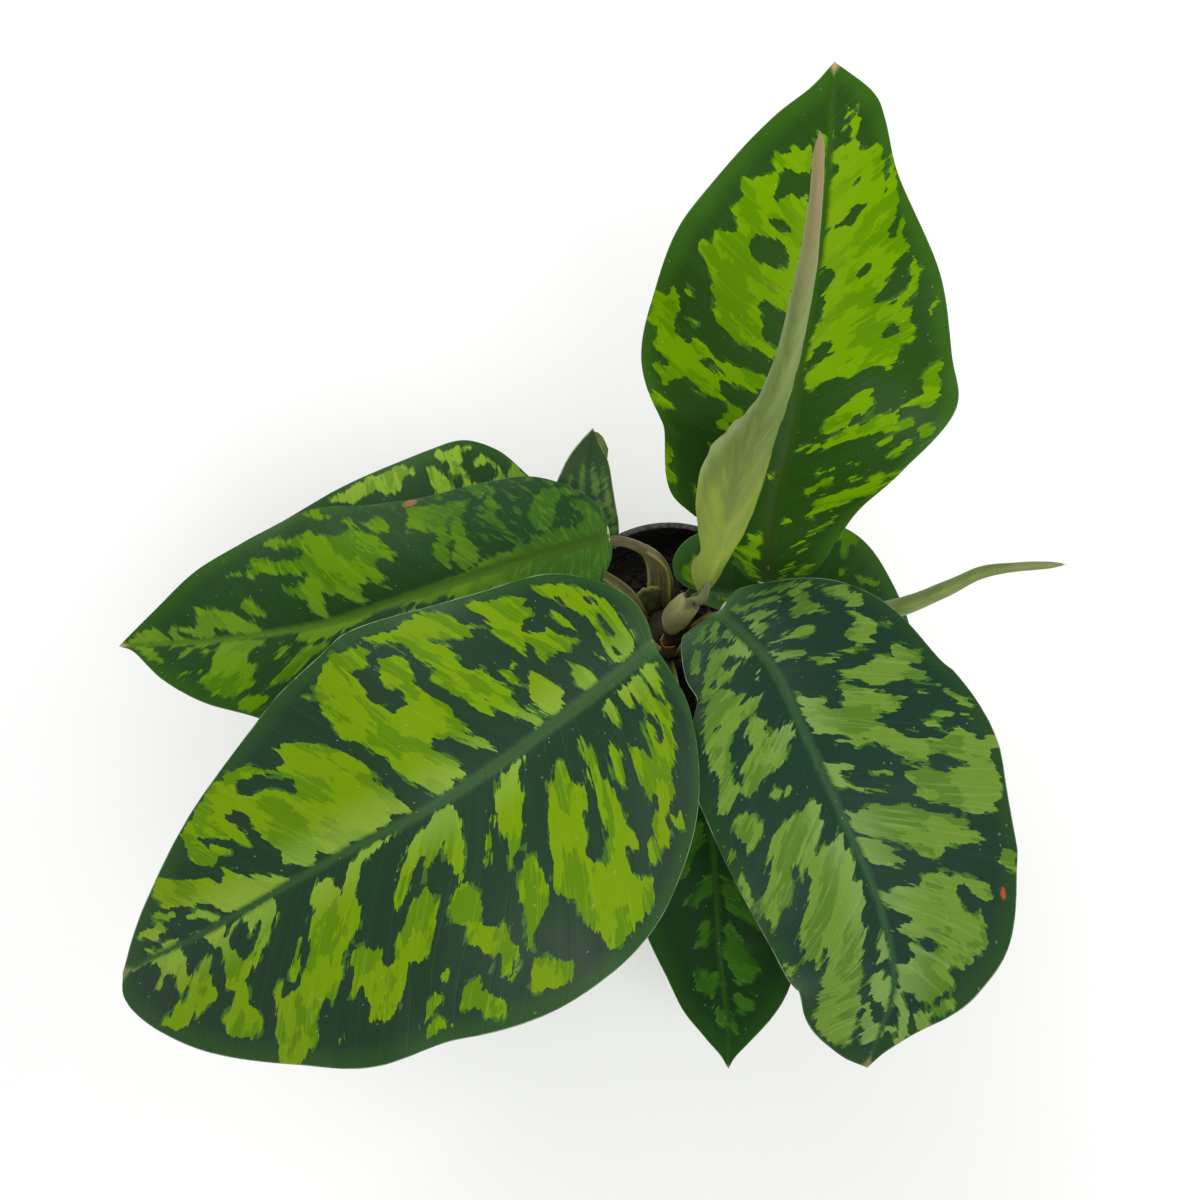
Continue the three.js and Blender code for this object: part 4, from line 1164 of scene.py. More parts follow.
backRightLeaf = {
    "name": "backRightLeaf",
    "node": "leaf_back_right",
    "seed": 5,
    "upper": camouflageSkin(
        "backRightSkin", ground="23470e", groundWarm="325e0e", patch="6e9a00", patchDeep="5a8800",
        patchPale="7ea20c", patchAtRib="7b9f14", rib="2c4410", ribTip="30560e", ribHalfWidth=3.4,
        margin="7f9060", tip="b4a070", gloss=0.1,
    ),
    "slot": 0,
    "stalk": [(14, -5, 98), (29, -7, 120)],
    "rib": [(34, -1, 126), (34, 20, 143), (39, 42, 159), (42, 66, 173), (49, 110, 195), (54, 165, 209)],
    "face": [(0, -0.3, 1), (0, -0.3, 1)],
    "scars": [(67.2, 31, 0.8), (13.5, 2, 0.6)],
    "left": {
        "lift": [-22, 2, 10, 8],
        "bend": [6, 5, 4],
        "wave": {"height": 1.5, "length": 68, "start": 0.5},
        "margin": [
            (0, 0), (2, 9), (12, 16), (21, 27), (30, 43), (54, 48), (78, 58), (100, 56), (124, 50),
            (148, 36), (167, 21), (180, 8), (191, 0),
        ],
        "patches": [
            [(2, 14), (3, 42), (5, 66), (8, 84), (11, 86), (10, 64), (9, 44), (7, 26), (5, 10)],
            [(12, 84), (14, 92), (17, 90), (18, 80), (15, 72)],
            [(11, 35), (12.5, 55), (13.5, 70), (15, 50), (17, 35), (19, 25), (21, 20), (23, 18), (25, 8),
             (24, 4), (22, 8), (20, 12), (18, 8), (16, 15), (14, 22), (12.5, 28)],
            [(23.3, 100), (25, 100), (25.2, 85), (24, 90)],
            [(26, 100), (29, 100), (28.5, 92), (27.5, 90), (26, 94)],
            [(20, 40), (23, 62), (26, 70), (27, 50), (25, 30)],
            [(30, 20), (32, 48), (35, 60), (37, 44), (35, 18)],
            [(37.5, 90), (38, 95), (37, 100), (40, 100), (41, 90), (40.5, 84), (39.5, 81), (38.5, 82)],
            [(42, 84), (44, 86), (44.5, 92), (45.5, 93), (46, 88), (46, 82), (47, 80), (47.5, 88),
             (48, 91), (50, 92), (50, 100), (54, 100), (54.5, 91), (56.5, 91), (57, 88), (56, 83),
             (54, 82), (52, 84), (51.5, 78), (51, 72), (52.5, 68), (52.8, 60), (52.5, 50), (53, 42),
             (54, 33), (55, 22), (55, 18), (53.5, 20), (52, 27), (51.5, 33), (51, 40), (50, 47), (49, 48),
             (48, 42), (47, 48), (46.5, 54), (46, 60), (46.5, 64), (47, 68), (46, 74), (45, 79), (44, 80)],
            [(54, 76), (54.7, 75), (54.5, 68), (54, 70)],
            [(57, 82), (58, 82), (58, 77), (57, 78)],
            [(40, 50), (42, 48), (45, 42), (47, 38), (48, 30), (46, 32), (44, 38), (42, 42)],
            [(56.5, 42), (56.5, 58), (58, 60), (59.5, 62), (60, 66), (62, 69), (62.5, 75), (63, 82),
             (64, 84), (65, 84), (65.5, 76), (66.5, 78), (67.5, 77), (68.5, 70), (70, 66), (71, 72),
             (71, 76), (72.5, 78), (73.5, 75), (75.5, 82), (76.8, 84), (77.3, 75), (79, 70), (80, 62),
             (81, 63), (82, 71), (83, 72), (83, 66), (84, 60), (85.5, 58), (86, 46), (87.5, 40), (88, 35),
             (86, 24), (85, 25), (84, 32), (83, 40), (82.7, 50), (82, 57), (80, 58), (78, 54), (77, 51),
             (79, 45), (80, 40), (80.5, 30), (81.5, 25), (80, 18), (75, 16), (70, 16), (66, 14),
             (65.5, 25), (64.5, 34), (63, 36), (62, 30), (60, 28), (60, 16), (58.2, 18), (58, 28)],
            [(80, 0), (81, 8), (82, 3), (83, 10), (85, 14), (86, 10), (87, 5), (88, 2), (89, 12),
             (89.5, 28), (90.3, 28), (91, 15), (92, 0)],
            [(38, 8), (39, 10), (40.5, 4), (40, 3)],
        ],
        "gaps": [
            [(68.5, 52), (69.5, 57), (71, 55), (72, 48), (73, 40), (73, 30), (72.5, 25), (71, 22),
             (70, 30), (69, 40)],
            [(74, 50), (75, 47), (75.7, 40), (75.5, 30), (74.5, 33), (74, 40)],
            [(50.3, 58), (51, 62), (51.5, 55), (51, 45), (50.5, 50)],
        ],
    },
    "right": {
        "lift": [15, 30, 12, 8, 8],
        "bend": [2, -5, 3, 4, 4],
        "wave": {"height": 2, "length": 60, "start": 0.1},
        "margin": [
            (0, 0), (2, 9), (8, 18), (22, 25), (38, 33), (53, 46), (67, 54), (82, 54), (98, 51),
            (116, 44), (136, 32), (152, 24), (170, 19), (180, 14), (191, 0),
        ],
        "patches": [
            [(3, 12), (5, 30), (8, 40), (9, 28), (7, 14)],
            [(5, 60), (8, 78), (10, 84), (10, 70), (8, 56)],
            [(26, 8), (27.5, 11), (29, 13), (27.5, 20), (26.5, 15)],
            [(10.5, 20), (11.8, 28), (12, 40), (11, 45), (10.5, 35)],
            [(15.3, 40), (16.3, 48), (16, 56), (15.2, 55)],
            [(18, 30), (19.5, 40), (21, 55), (22.5, 62), (24.5, 70), (24, 74), (21.5, 66), (19.5, 55),
             (18.5, 45)],
            [(27, 40), (28, 30), (29.5, 31), (30.5, 34), (33, 33), (33.8, 36), (33.5, 50), (33, 62),
             (33, 74), (32.5, 86), (31.5, 100), (30, 100), (29.5, 85), (29.7, 70), (29, 60), (28, 50)],
            [(35, 56), (35.8, 54), (35.5, 62), (34.5, 75), (33, 90), (32, 100), (31.5, 95), (32.7, 80)],
            [(35, 25), (36, 20), (37.3, 27), (38, 33), (37.8, 42), (36.7, 38), (36, 32)],
            [(38.7, 26), (39.3, 26), (39.7, 35), (39, 38), (38.6, 32)],
            [(38.6, 40), (39.3, 45), (38.7, 52)],
            [(44, 12), (44.8, 16), (44.5, 28), (45.5, 38), (45, 48), (44.8, 56), (44.3, 62), (44.5, 70),
             (43.5, 78), (42.3, 84), (44, 90), (48, 90), (50, 94), (50, 84), (48.5, 80), (45.5, 79),
             (45, 75), (44.5, 68), (42.5, 68), (42, 74), (40.5, 82), (39.5, 90), (38, 96), (37, 100),
             (38, 90), (40, 82), (41, 72), (41.7, 62), (42.5, 54), (43, 45), (43.3, 35), (43.8, 22)],
            [(44.5, 20), (45.5, 12), (46, 5), (45.5, 14), (45.2, 22)],
            [(46.2, 28), (46.7, 22), (49, 22), (49.5, 30), (50.2, 38), (50.8, 46), (50, 50), (48, 50),
             (47.5, 52), (46, 46), (46.7, 42), (45.3, 37), (46, 33)],
            [(40, 62), (41, 60), (40.7, 68), (39.8, 70)],
            [(37, 74), (38.5, 78), (38, 84), (36.8, 80)],
            [(46, 68), (47, 70), (46.8, 71)],
            [(55.5, 10), (57, 6), (58.5, 8), (59.3, 16), (60.5, 22), (62, 24), (62.5, 16), (61.5, 8),
             (60, 3), (62, 3), (64, 8), (65.5, 10), (66, 17), (67.5, 12), (68.5, 15), (69.7, 11),
             (70.5, 20), (72, 22), (73, 15), (74, 10), (74, 1), (78.5, 1), (78.5, 15), (77.7, 30),
             (76.7, 38), (76.7, 46), (78, 56), (79, 48), (79.3, 38), (78.5, 30), (79, 15), (79.5, 1),
             (85, 1), (85.3, 12), (86, 20), (87, 18), (87.7, 8), (88.5, 1), (89, 10), (88.6, 25),
             (88.7, 38), (89.5, 45), (91, 40), (91.5, 52), (92, 66), (90, 60), (88, 55), (86, 50),
             (85.5, 60), (85.3, 75), (85, 84), (83, 90), (80, 84), (77.5, 80), (80, 92), (82, 99),
             (79, 99), (75, 90), (72.5, 78), (71.5, 72), (71, 78), (73, 88), (72, 90), (70.5, 84),
             (68, 86), (68, 72), (66.5, 66), (65, 60), (63.8, 53), (62.3, 66), (63, 78), (65, 82),
             (67, 86), (66, 88), (64, 87), (62.3, 82), (61.5, 74), (60.5, 70), (60.3, 78), (59.5, 78),
             (58.7, 74), (57.5, 79), (56.5, 78), (55.5, 74), (56, 68), (53, 66), (52.3, 60), (54, 52),
             (54.3, 42), (54.5, 34), (55.3, 26), (56, 20)],
            [(91, 22), (91.7, 28), (91.8, 36), (91, 34)],
            [(92.3, 40), (93.2, 44), (93, 48), (92, 45)],
            [(91, 0), (91.8, 5), (91, 10)],
            [(57.5, 88), (58.7, 89), (59.5, 93), (60.5, 96), (59, 95)],
        ],
        "gaps": [
            [(57.3, 62), (58, 57), (59.3, 60), (59.5, 65), (58.5, 69), (57.5, 67)],
            [(69, 42), (69.8, 44), (70, 52), (69.5, 56), (68.8, 52)],
            [(82, 40), (82.7, 45), (82.3, 55), (81.7, 50)],
        ],
    },
}
growLeaf(backRightLeaf)

lowRightLeaf = {
    "name": "lowRightLeaf",
    "node": "leaf_right_low",
    "seed": 6,
    # its patches are a deeper green than on the other leaves: painted shade, as it lies under the front
    # right leaf
    "upper": camouflageSkin(
        "lowRightSkinPaintedShade", ground="1d420e", groundWarm="2a560c", patch="527f0c", patchDeep="42700a",
        patchPale="668c22", patchAtRib="5c8420", sideVeins=22, ribHalfWidth=1.8, softness=0.4, gloss=0.1,
    ),
    "slot": 1,
    "stalk": [(7, 8, 84), (11, 11, 91)],
    "rib": [(12, 8, 95), (34, 3, 101), (61, -3, 101), (82, -8, 95), (98, -12, 87)],
    "face": [(0, 0, 1), (0, 0, 1)],
    "left": {
        "wave": {"height": 1.5, "length": 50, "start": 0.4},
        "margin": [
            (0, 0), (-7, 1), (-13, 6), (-14, 14), (-8, 23), (8, 31), (30, 36), (50, 37), (64, 32),
            (78, 17), (92, 0),
        ],
        "patches": [
            [(35, 60), (37, 68), (40, 66), (41.5, 58), (41.5, 50), (40.5, 45), (38, 45), (37, 50),
             (39, 54), (37, 60)],
            [(34, 42), (36, 42), (38, 38), (41, 38), (42.5, 35), (41, 31), (39, 32), (36, 37)],
            [(43, 90), (44.5, 94), (45.8, 92), (45.5, 84), (44.5, 78), (43.5, 78)],
            [(50, 62), (52, 72), (54, 85), (55.5, 92), (57, 99), (58.5, 98), (58, 85), (57.5, 72),
             (57, 60), (56, 52), (54, 55), (52, 56)],
            [(48, 45), (50, 50), (51, 45), (50, 38), (48.5, 38)],
            [(59.8, 99), (68, 99), (67.5, 88), (66.5, 78), (66, 66), (64.5, 66), (64, 88), (61, 88),
             (63, 80), (61, 76), (60.3, 86), (60, 80), (60.5, 64)],
            [(67, 52), (68.7, 56), (69.5, 50), (68.5, 45), (67, 46)],
            [(72, 55), (75, 62), (78, 72), (79, 82), (80, 80), (79, 68), (77, 58), (75, 52)],
            [(78, 34), (79, 46), (82, 50), (83, 30), (80, 14)],
            [(86, 12), (88, 44), (90, 50), (91, 30), (89, 8)],
            [(4, 10), (6, 60), (12, 80), (20, 70), (24, 52), (20, 36), (14, 26), (8, 8)],
        ],
    },
    "right": {
        "wave": {"height": 1.5, "length": 50, "start": 0},
        "margin": [
            (0, 0), (-4, 2), (-3, 5), (3, 6.5), (14, 10), (28, 17), (45, 24), (68, 21), (84, 9), (92, 0),
        ],
        "patches": [
            [(20, 20), (26, 66), (34, 60), (30, 12)],
            [(42, 12), (46, 56), (54, 76), (58, 46), (52, 8)],
            [(64, 14), (68, 60), (76, 80), (79, 44), (73, 6)],
            [(84, 16), (87, 60), (91, 50), (90, 10)],
        ],
    },
}
growLeaf(lowRightLeaf)

frontRightLeaf = {
    "name": "frontRightLeaf",
    "node": "leaf_front_right",
    "seed": 7,
    "upper": camouflageSkin(
        "frontRightSkin", ground="163425", groundWarm="20421c", patch="688730", patchDeep="527526",
        patchPale="809c58", patchAtRib="84a05c", patchAtBase="426a2c", groundAtBase="183422",
        opensFrom=0.17, scar="a84a2a", gloss=0.12, rib="2f4d2c", ribTip="2d5030", ribHalfWidth=2.4,
        margin="8da282", marginShows=0.85, fringe=7,
    ),
    "slot": 7,
    "stalk": [(7, -15, 106), (11, -20, 137)],
    "rib": [
        (13, -18, 143), (28, -40, 154), (37, -64, 160), (49, -93, 156), (62, -120, 142), (69, -143, 122),
        (64, -168, 98),
    ],
    "face": [(0, -0.1, 1), (0, -0.2, 1)],
    "scars": [(69.7, 91, 1.5)],
    "left": {
        "bend": [5, 4, 4],
        "wave": {"height": 1.5, "length": 72, "start": 0.1},
        "margin": [
            (0, 0), (-2, 11), (8, 24), (22, 39), (36, 50), (58, 56), (80, 57), (104, 54), (124, 49),
            (142, 40), (154, 27), (166, 13), (178, 5), (189, 0),
        ],
        "patches": [
            [(9, 58), (11, 74), (13, 85), (16, 92), (18, 84), (15, 70), (12, 56)],
            [(11, 38), (13, 50), (16, 58), (18, 50), (15, 36), (12, 30)],
            [(7, 20), (9, 32), (12, 38), (14, 28), (11, 16)],
            [(15, 20), (17, 31), (20, 38), (22, 30), (19, 18), (16, 12)],
            [(19, 88), (21, 94), (22.5, 84), (22, 76), (20, 78)],
            [(16, 70), (18, 72), (20, 68), (22, 60), (24.5, 62), (25, 55), (24.8, 45), (24, 38),
             (22.5, 40), (21.5, 48), (20, 55), (18, 60)],
            [(20, 18), (22.5, 19), (25, 12), (25.5, 7), (22, 8), (20, 10)],
            [(23, 92), (24, 88), (25.5, 78), (25.5, 70), (24.5, 74), (23.5, 82), (22.8, 88)],
            [(26.8, 92), (27.7, 88), (27.5, 83), (26.8, 85)],
            [(26.3, 70), (27.2, 78), (28.2, 76), (29.5, 72), (30.5, 66), (31.5, 58), (31.5, 52), (30, 52),
             (28.5, 60), (27.5, 66)],
            [(26.8, 33), (27.8, 38), (29, 37), (29, 25), (29, 14), (28.5, 10), (27.8, 20), (28, 27)],
            [(31, 92), (32, 88), (33, 85.5), (34.3, 85), (34.5, 78), (36, 82), (38, 82), (38.7, 78),
             (38, 68), (38, 60), (39.2, 54), (39.3, 45), (38.5, 38), (37.5, 33), (36.3, 42), (35, 48),
             (34.5, 55), (33.3, 62), (33, 70), (31, 74), (30.5, 80), (31.5, 84)],
            [(33, 48), (33.7, 42), (34.5, 35), (35.2, 25), (34, 24), (33.5, 32)],
            [(32, 23), (33.5, 20), (33.6, 12), (32.7, 4), (30.5, 4), (31.5, 14)],
            [(39.6, 32), (40, 42), (41.4, 50), (41.8, 60), (42.2, 62), (43.2, 58), (44.6, 52), (45.2, 45),
             (46.5, 40), (47.5, 44), (48.4, 50), (48.5, 60), (48.7, 68), (47.5, 75), (46.3, 82), (47, 88),
             (48, 92), (47, 99), (49, 99), (50, 92), (52, 94), (54, 95), (56, 96), (58, 93), (59, 90),
             (60, 80), (60, 70), (59.5, 62), (59, 52), (58, 48), (56.5, 46), (55.5, 43), (54, 46),
             (53.3, 55), (53.5, 66), (53, 75), (52.5, 80), (51.5, 76), (50, 68), (51, 63), (52, 58),
             (53, 50), (51.5, 42), (50.5, 40), (50, 28), (49.5, 5), (46.5, 3), (44.5, 3), (44.5, 25),
             (43, 28), (41, 30)],
            [(41.5, 94), (42.5, 97), (43, 94), (42.8, 89), (41, 87), (40, 84), (39.7, 88)],
            [(44, 92), (44.7, 91), (44.5, 87), (43.9, 87)],
            [(43.8, 85), (44.6, 80), (45, 72), (44.3, 74)],
            [(45.7, 72), (46.8, 71), (47.3, 64), (46.2, 62)],
            [(40.5, 78), (41.2, 76), (41, 69), (40.5, 72)],
            [(60, 42), (60.5, 50), (60.2, 60), (61.3, 70), (62.3, 71), (63, 78), (63.5, 81), (64.2, 76),
             (64.5, 64), (65, 56), (66.7, 52), (67.7, 44), (67.5, 38), (66, 34), (65.7, 28), (65.3, 20),
             (65.7, 10), (65, 4), (62, 2), (61.7, 10), (60.7, 20), (60, 32)],
            [(64, 99), (63.8, 92), (64.5, 86), (66, 88), (66.3, 95), (66.5, 99)],
            [(66, 6), (66.3, 16), (67.5, 22), (68.5, 29), (69.3, 28), (69.7, 18), (70, 8), (69, 1),
             (67, 1)],
            [(54.3, 20), (55.5, 15), (56.5, 10), (58, 12), (58.5, 7), (58.8, 1), (54.7, 1), (54.5, 10)],
            [(57.5, 30), (58.3, 30), (59.2, 20), (58.8, 13), (57.8, 20)],
            [(54.5, 36), (55.3, 36), (55.2, 28), (54.6, 30)],
            [(42.2, 18), (43.5, 18), (44.3, 15), (44, 5), (42, 5)],
            [(50.5, 28), (51, 24), (50.9, 14), (50.3, 16)],
            [(68.5, 50), (69, 60), (68.7, 70), (68.7, 78), (69.5, 84), (70.5, 86), (71.5, 78), (71, 72),
             (70, 66), (69.8, 60), (71, 57), (72.5, 60), (73.5, 64), (73.5, 70), (73, 76), (74, 82),
             (75, 86), (76.5, 86), (77.3, 83), (78.5, 82), (80, 78), (80, 70), (81.3, 64), (82, 70),
             (83, 78), (84.5, 72), (86, 68), (87, 55), (87, 42), (88, 30), (88.5, 15), (88, 8), (86.5, 8),
             (85.5, 3), (84.5, 6), (84, 18), (83, 28), (82, 28), (81.5, 20), (80.7, 25), (81, 40),
             (79.5, 52), (79, 60), (78.2, 58), (78.7, 50), (79, 38), (80, 28), (80.3, 18), (80, 5),
             (79.5, 3), (79, 14), (78, 20), (77, 28), (76.3, 22), (76.2, 10), (75.8, 1), (74.5, 1),
             (74.5, 10), (73.5, 14), (72.3, 20), (72, 28), (71.5, 34), (70.3, 36), (69.5, 45)],
            [(84, 92), (86, 90), (86.5, 82), (85, 80), (84, 85)],
            [(87.5, 99), (89.5, 99), (89.5, 85), (89.3, 70), (88.7, 60), (88, 62), (87.5, 80)],
            [(91, 99), (93.5, 99), (93.3, 85), (92.3, 70), (91.5, 55), (91, 50), (90, 40), (90, 25),
             (90.7, 12), (91.5, 1), (88.5, 1), (89, 20), (89, 40), (89.5, 55), (90.5, 70), (91, 85)],
            [(92.5, 60), (93.5, 50), (94, 38), (95.5, 25), (96, 0), (94.5, 0), (94, 12), (93, 30)],
        ],
    },
    "right": {
        "bend": [6, 5, 4],
        "wave": {"height": 1.5, "length": 66, "start": 0.6},
        "margin": [
            (0, 0), (0, 12), (2, 18), (15, 26), (33, 29), (56, 40), (73, 41), (97, 40), (120, 38),
            (150, 33), (173, 26), (184, 12), (189, 0),
        ],
        "patches": [
            [(8, 18), (10, 34), (13, 44), (15, 34), (12, 14)],
            [(5, 40), (8, 58), (11, 66), (12, 54), (8, 34)],
            [(10, 72), (13, 80), (15, 90), (17, 80), (14, 66)],
            [(14, 10), (16, 22), (18, 24), (19, 12), (17, 4)],
            [(20, 8), (21, 3), (23, 3), (25.5, 5), (27.5, 10), (26.5, 15), (25.5, 20), (22.5, 25),
             (21.5, 32), (20.5, 40), (20.5, 48), (22, 50), (23.5, 44), (24, 38), (24.8, 28), (25.6, 24),
             (25.5, 34), (26, 42), (26, 50), (25, 57), (25, 62), (27, 58), (28, 50), (30, 46), (32, 42),
             (33, 36), (34, 34), (34.3, 40), (35, 35), (35.7, 28), (37, 22), (37.5, 18), (38, 28),
             (38, 38), (37.3, 45), (37.5, 55), (38.5, 60), (40, 68), (42, 70), (42.8, 66), (42.5, 60),
             (41, 58), (41, 50), (42, 45), (40, 46), (38.8, 43), (38.5, 36), (40, 30), (41.3, 28),
             (41.5, 33), (43, 25), (43.7, 27), (44.5, 20), (45.3, 12), (46, 8), (48, 9), (48, 20),
             (47.7, 32), (47, 42), (46, 52), (45.5, 62), (44.5, 67), (43, 70), (43.5, 78), (43.3, 84),
             (42, 91), (41, 88), (40, 80), (38.5, 76), (37, 80), (35, 80), (33.5, 80), (34, 86), (33, 94),
             (32.5, 88), (31, 83), (29, 84), (27, 82), (26, 78), (25, 80), (25, 88), (23.5, 96), (22, 92),
             (20, 86), (18.3, 80), (18, 72), (19, 68), (17.5, 65), (16, 55), (15.5, 48), (15.5, 42),
             (17, 36), (19, 28), (20, 20)],
            [(32, 9), (33, 12), (33.5, 18), (32.3, 15)],
            [(51.5, 29), (52, 30), (51, 38), (49.7, 46), (48.8, 47), (49, 42), (50.5, 38)],
            [(46, 70), (47.5, 65), (49.5, 64), (50.2, 68), (50, 76), (49, 83), (47.5, 82), (46.5, 85),
             (45.3, 80), (45.3, 74)],
            [(46.5, 88), (48, 92), (47.7, 99), (46, 94)],
            [(57, 18), (58.5, 13), (59.5, 18), (61, 15), (60, 22), (60, 35), (61, 35), (62, 28), (63, 22),
             (63.5, 12), (64, 6), (65.5, 7), (68.7, 8), (69.5, 18), (71, 8), (73.7, 10), (74, 20),
             (75, 22), (76, 20), (76.5, 28), (78.5, 29), (79, 36), (81.5, 38), (84, 42), (87, 40),
             (90, 44), (91, 55), (92, 62), (93.3, 72), (93.3, 82), (92.5, 92), (90, 96), (87.5, 92),
             (85, 86), (82.5, 84), (79, 78), (76, 74), (73.5, 68), (71.5, 62), (70, 62), (71, 68),
             (72, 74), (70, 72), (69, 78), (68.5, 82), (67.5, 78), (65, 78), (64, 72), (63, 66),
             (62.3, 55), (61.8, 48), (60, 46), (60.5, 54), (59.5, 55), (58.3, 50), (57.5, 56), (58.5, 64),
             (59.3, 72), (58, 78), (58.5, 85), (58.7, 92), (57.5, 90), (56, 94), (54.5, 88), (54.3, 78),
             (54, 72), (52.5, 66), (52.3, 58), (53.5, 48), (54.3, 38), (55.5, 28), (56.5, 20)],
            [(70, 99), (65, 98), (66, 92), (67.7, 91), (68.5, 96)],
            [(79.5, 5), (80, 13), (82, 12), (82.3, 18), (83, 10), (84, 2), (81, 4)],
            [(86, 8), (87.5, 3), (90, 1), (92.5, 1), (91.5, 8), (89.5, 18), (87.5, 28), (86, 31),
             (84, 31), (83, 25), (84, 18), (86, 14)],
            [(95, 0), (96.3, 0), (96, 20), (95.7, 40), (95, 50), (93, 46), (90.5, 42), (88.5, 38),
             (88.5, 32), (90, 29), (92, 25), (93.5, 12)],
            [(50, 95), (52, 92), (54, 96), (53, 99)],
        ],
        "gaps": [
            [(21.5, 67), (23.5, 70), (24.5, 73), (22.5, 76), (21.8, 72)],
            [(34.3, 62), (35, 60), (35.3, 68), (34.7, 74), (34, 70)],
        ],
    },
}
growLeaf(frontRightLeaf)

lowFrontLeaf = {
    "name": "lowFrontLeaf",
    "node": "leaf_front_low",
    "seed": 8,
    # all its greens are dark: painted shade, as this leaf lies low under the others
    "upper": camouflageSkin(
        "lowFrontSkinPaintedShade", ground="10300c", groundWarm="1a400e", patch="2f5c10", patchDeep="254e10",
        patchPale="3f681e", patchAtRib="355f18", rib="244214", ribTip="264a10", sideVeins=22,
        ribHalfWidth=1.6, tip="9a8a5a", fringe=9, softness=1.3, gloss=0.06,
    ),
    "slot": 6,
    "stalk": [(0, -34, 92), (7, -59, 97)],
    "rib": [(8, -62, 100), (12, -92, 100), (15, -130, 84), (19, -156, 66), (20, -172, 52)],
    "face": [(0, -0.1, 1), (0, -0.3, 1)],
    "left": {
        "bend": [5, 5, 5],
        "wave": {"height": 1.5, "length": 60, "start": 0.7},
        "margin": [
            (0, 0), (-2, 8), (10, 22), (35, 31), (62, 31), (82, 27), (96, 21), (110, 9), (118, 3),
            (125, 0),
        ],
        "patches": [
            [(16, 14), (20, 52), (26, 70), (30, 52), (26, 14)],
            [(34, 20), (38, 62), (43, 84), (47, 60), (42, 16)],
            [(52, 8), (55, 46), (60, 60), (61, 30), (57, 4)],
            [(64, 14), (68, 44), (70, 58), (74, 52), (76, 45), (77, 30), (75, 14), (70, 6)],
            [(79, 58), (81, 62), (84, 48), (85, 30), (82, 18), (80, 32)],
            [(86, 10), (88, 30), (90, 40), (91, 16)],
        ],
    },
    "right": {
        "bend": [5, 5, 5],
        "wave": {"height": 1.5, "length": 56, "start": 0.2},
        "margin": [
            (0, 0), (-2, 8), (10, 22), (35, 30), (58, 28), (78, 21), (94, 16), (108, 9), (118, 3),
            (125, 0),
        ],
        "patches": [
            [(14, 20), (18, 60), (25, 76), (28, 48), (22, 10)],
            [(36, 12), (39, 50), (45, 70), (47, 40), (42, 8)],
            [(53, 2), (57, 2), (57, 30), (55, 40), (53, 22)],
            [(62, 20), (66, 40), (68, 26), (66, 8)],
            [(70, 48), (73, 35), (76, 20), (78, 8), (80, 4), (79, 16), (80, 30), (78, 42), (74, 56)],
            [(84, 30), (85, 15), (87, 4), (89, 1), (89, 15), (88, 30), (86, 38)],
        ],
    },
}
growLeaf(lowFrontLeaf)

# the two young leaves are still rolled, with their pale undersides out

youngUnderside = undersideSkin(
    "youngUnderside", field="7c9044", fieldDeep="647a36", vein="8e9c56", margin="a08f66", low="96aa36",
    lowEnds=0.44, ribShows=0.0, veinShows=0.04, tip="8c7e54", tipFrom=0.78, marginShows=0.7,
)
youngInside = camouflageSkin(
    "youngInsideSkin", ground="4a6a34", groundWarm="5a7638", patch="86a04a", patchDeep="6f8c3c",
    patchPale="9db066", rib="6f8448", sideVeins=30,
)
youngStalk = stalkSkin("youngStalk", "8d9a60", "7d7a5a", "a8ab78")

tallRolledLeaf = {
    "name": "tallRolledLeaf",
    "node": "rolled_leaf_tall",
    "finish": "young_leaf",
    "seed": 9,
    "groove": 0.2,
    "quilt": 0.08,
    "upper": youngInside,
    "under": youngUnderside,
    "stalkSkin": youngStalk,
    "slot": "middle",
    "stalk": [(1, -2.4, 92), (5, -0.3, 103)],
    "rib": [
        (10, 1, 112), (14, 6, 143), (16, 12, 171), (18, 18, 195), (22, 22, 216), (25, 26, 233),
        (26, 30, 248), (27, 40, 272), (27, 50, 285), (27, 60, 291),
    ],
    "face": [(0, 1, -0.3), (0, 1, -0.4)],
    "left": {
        "lift": [0, 0],
        "roll": [4.5, 5.8, 7, 9.3, 10.5, 11, 11, 10.2, 8.8, 6.8, 4.8, 3.7, 3.3, 2.8, 1.6, 1.1, 0.8],
        "margin": [
            (0, 0), (3, 3), (12, 7), (24, 10), (48, 15), (72, 17), (96, 14), (120, 9), (144, 6.5),
            (168, 4.4), (184, 2.6), (195, 0),
        ],
    },
    "right": {
        "lift": [0, 0],
        "roll": [4.5, 5.8, 7, 9.3, 10.5, 10.8, 9.4, 6.4, 4, 2.9, 2.9, 2.8, 2.6, 2.3, 1.9, 1.3, 0.8],
        "margin": [
            (0, 0), (3, 3), (10, 8.5), (16, 9), (22, 7), (28, 7), (38, 11), (50, 16), (70, 18), (88, 14),
            (100, 9), (120, 7.5), (144, 6), (168, 4.4), (184, 2.6), (195, 0),
        ],
    },
}
growLeaf(tallRolledLeaf)

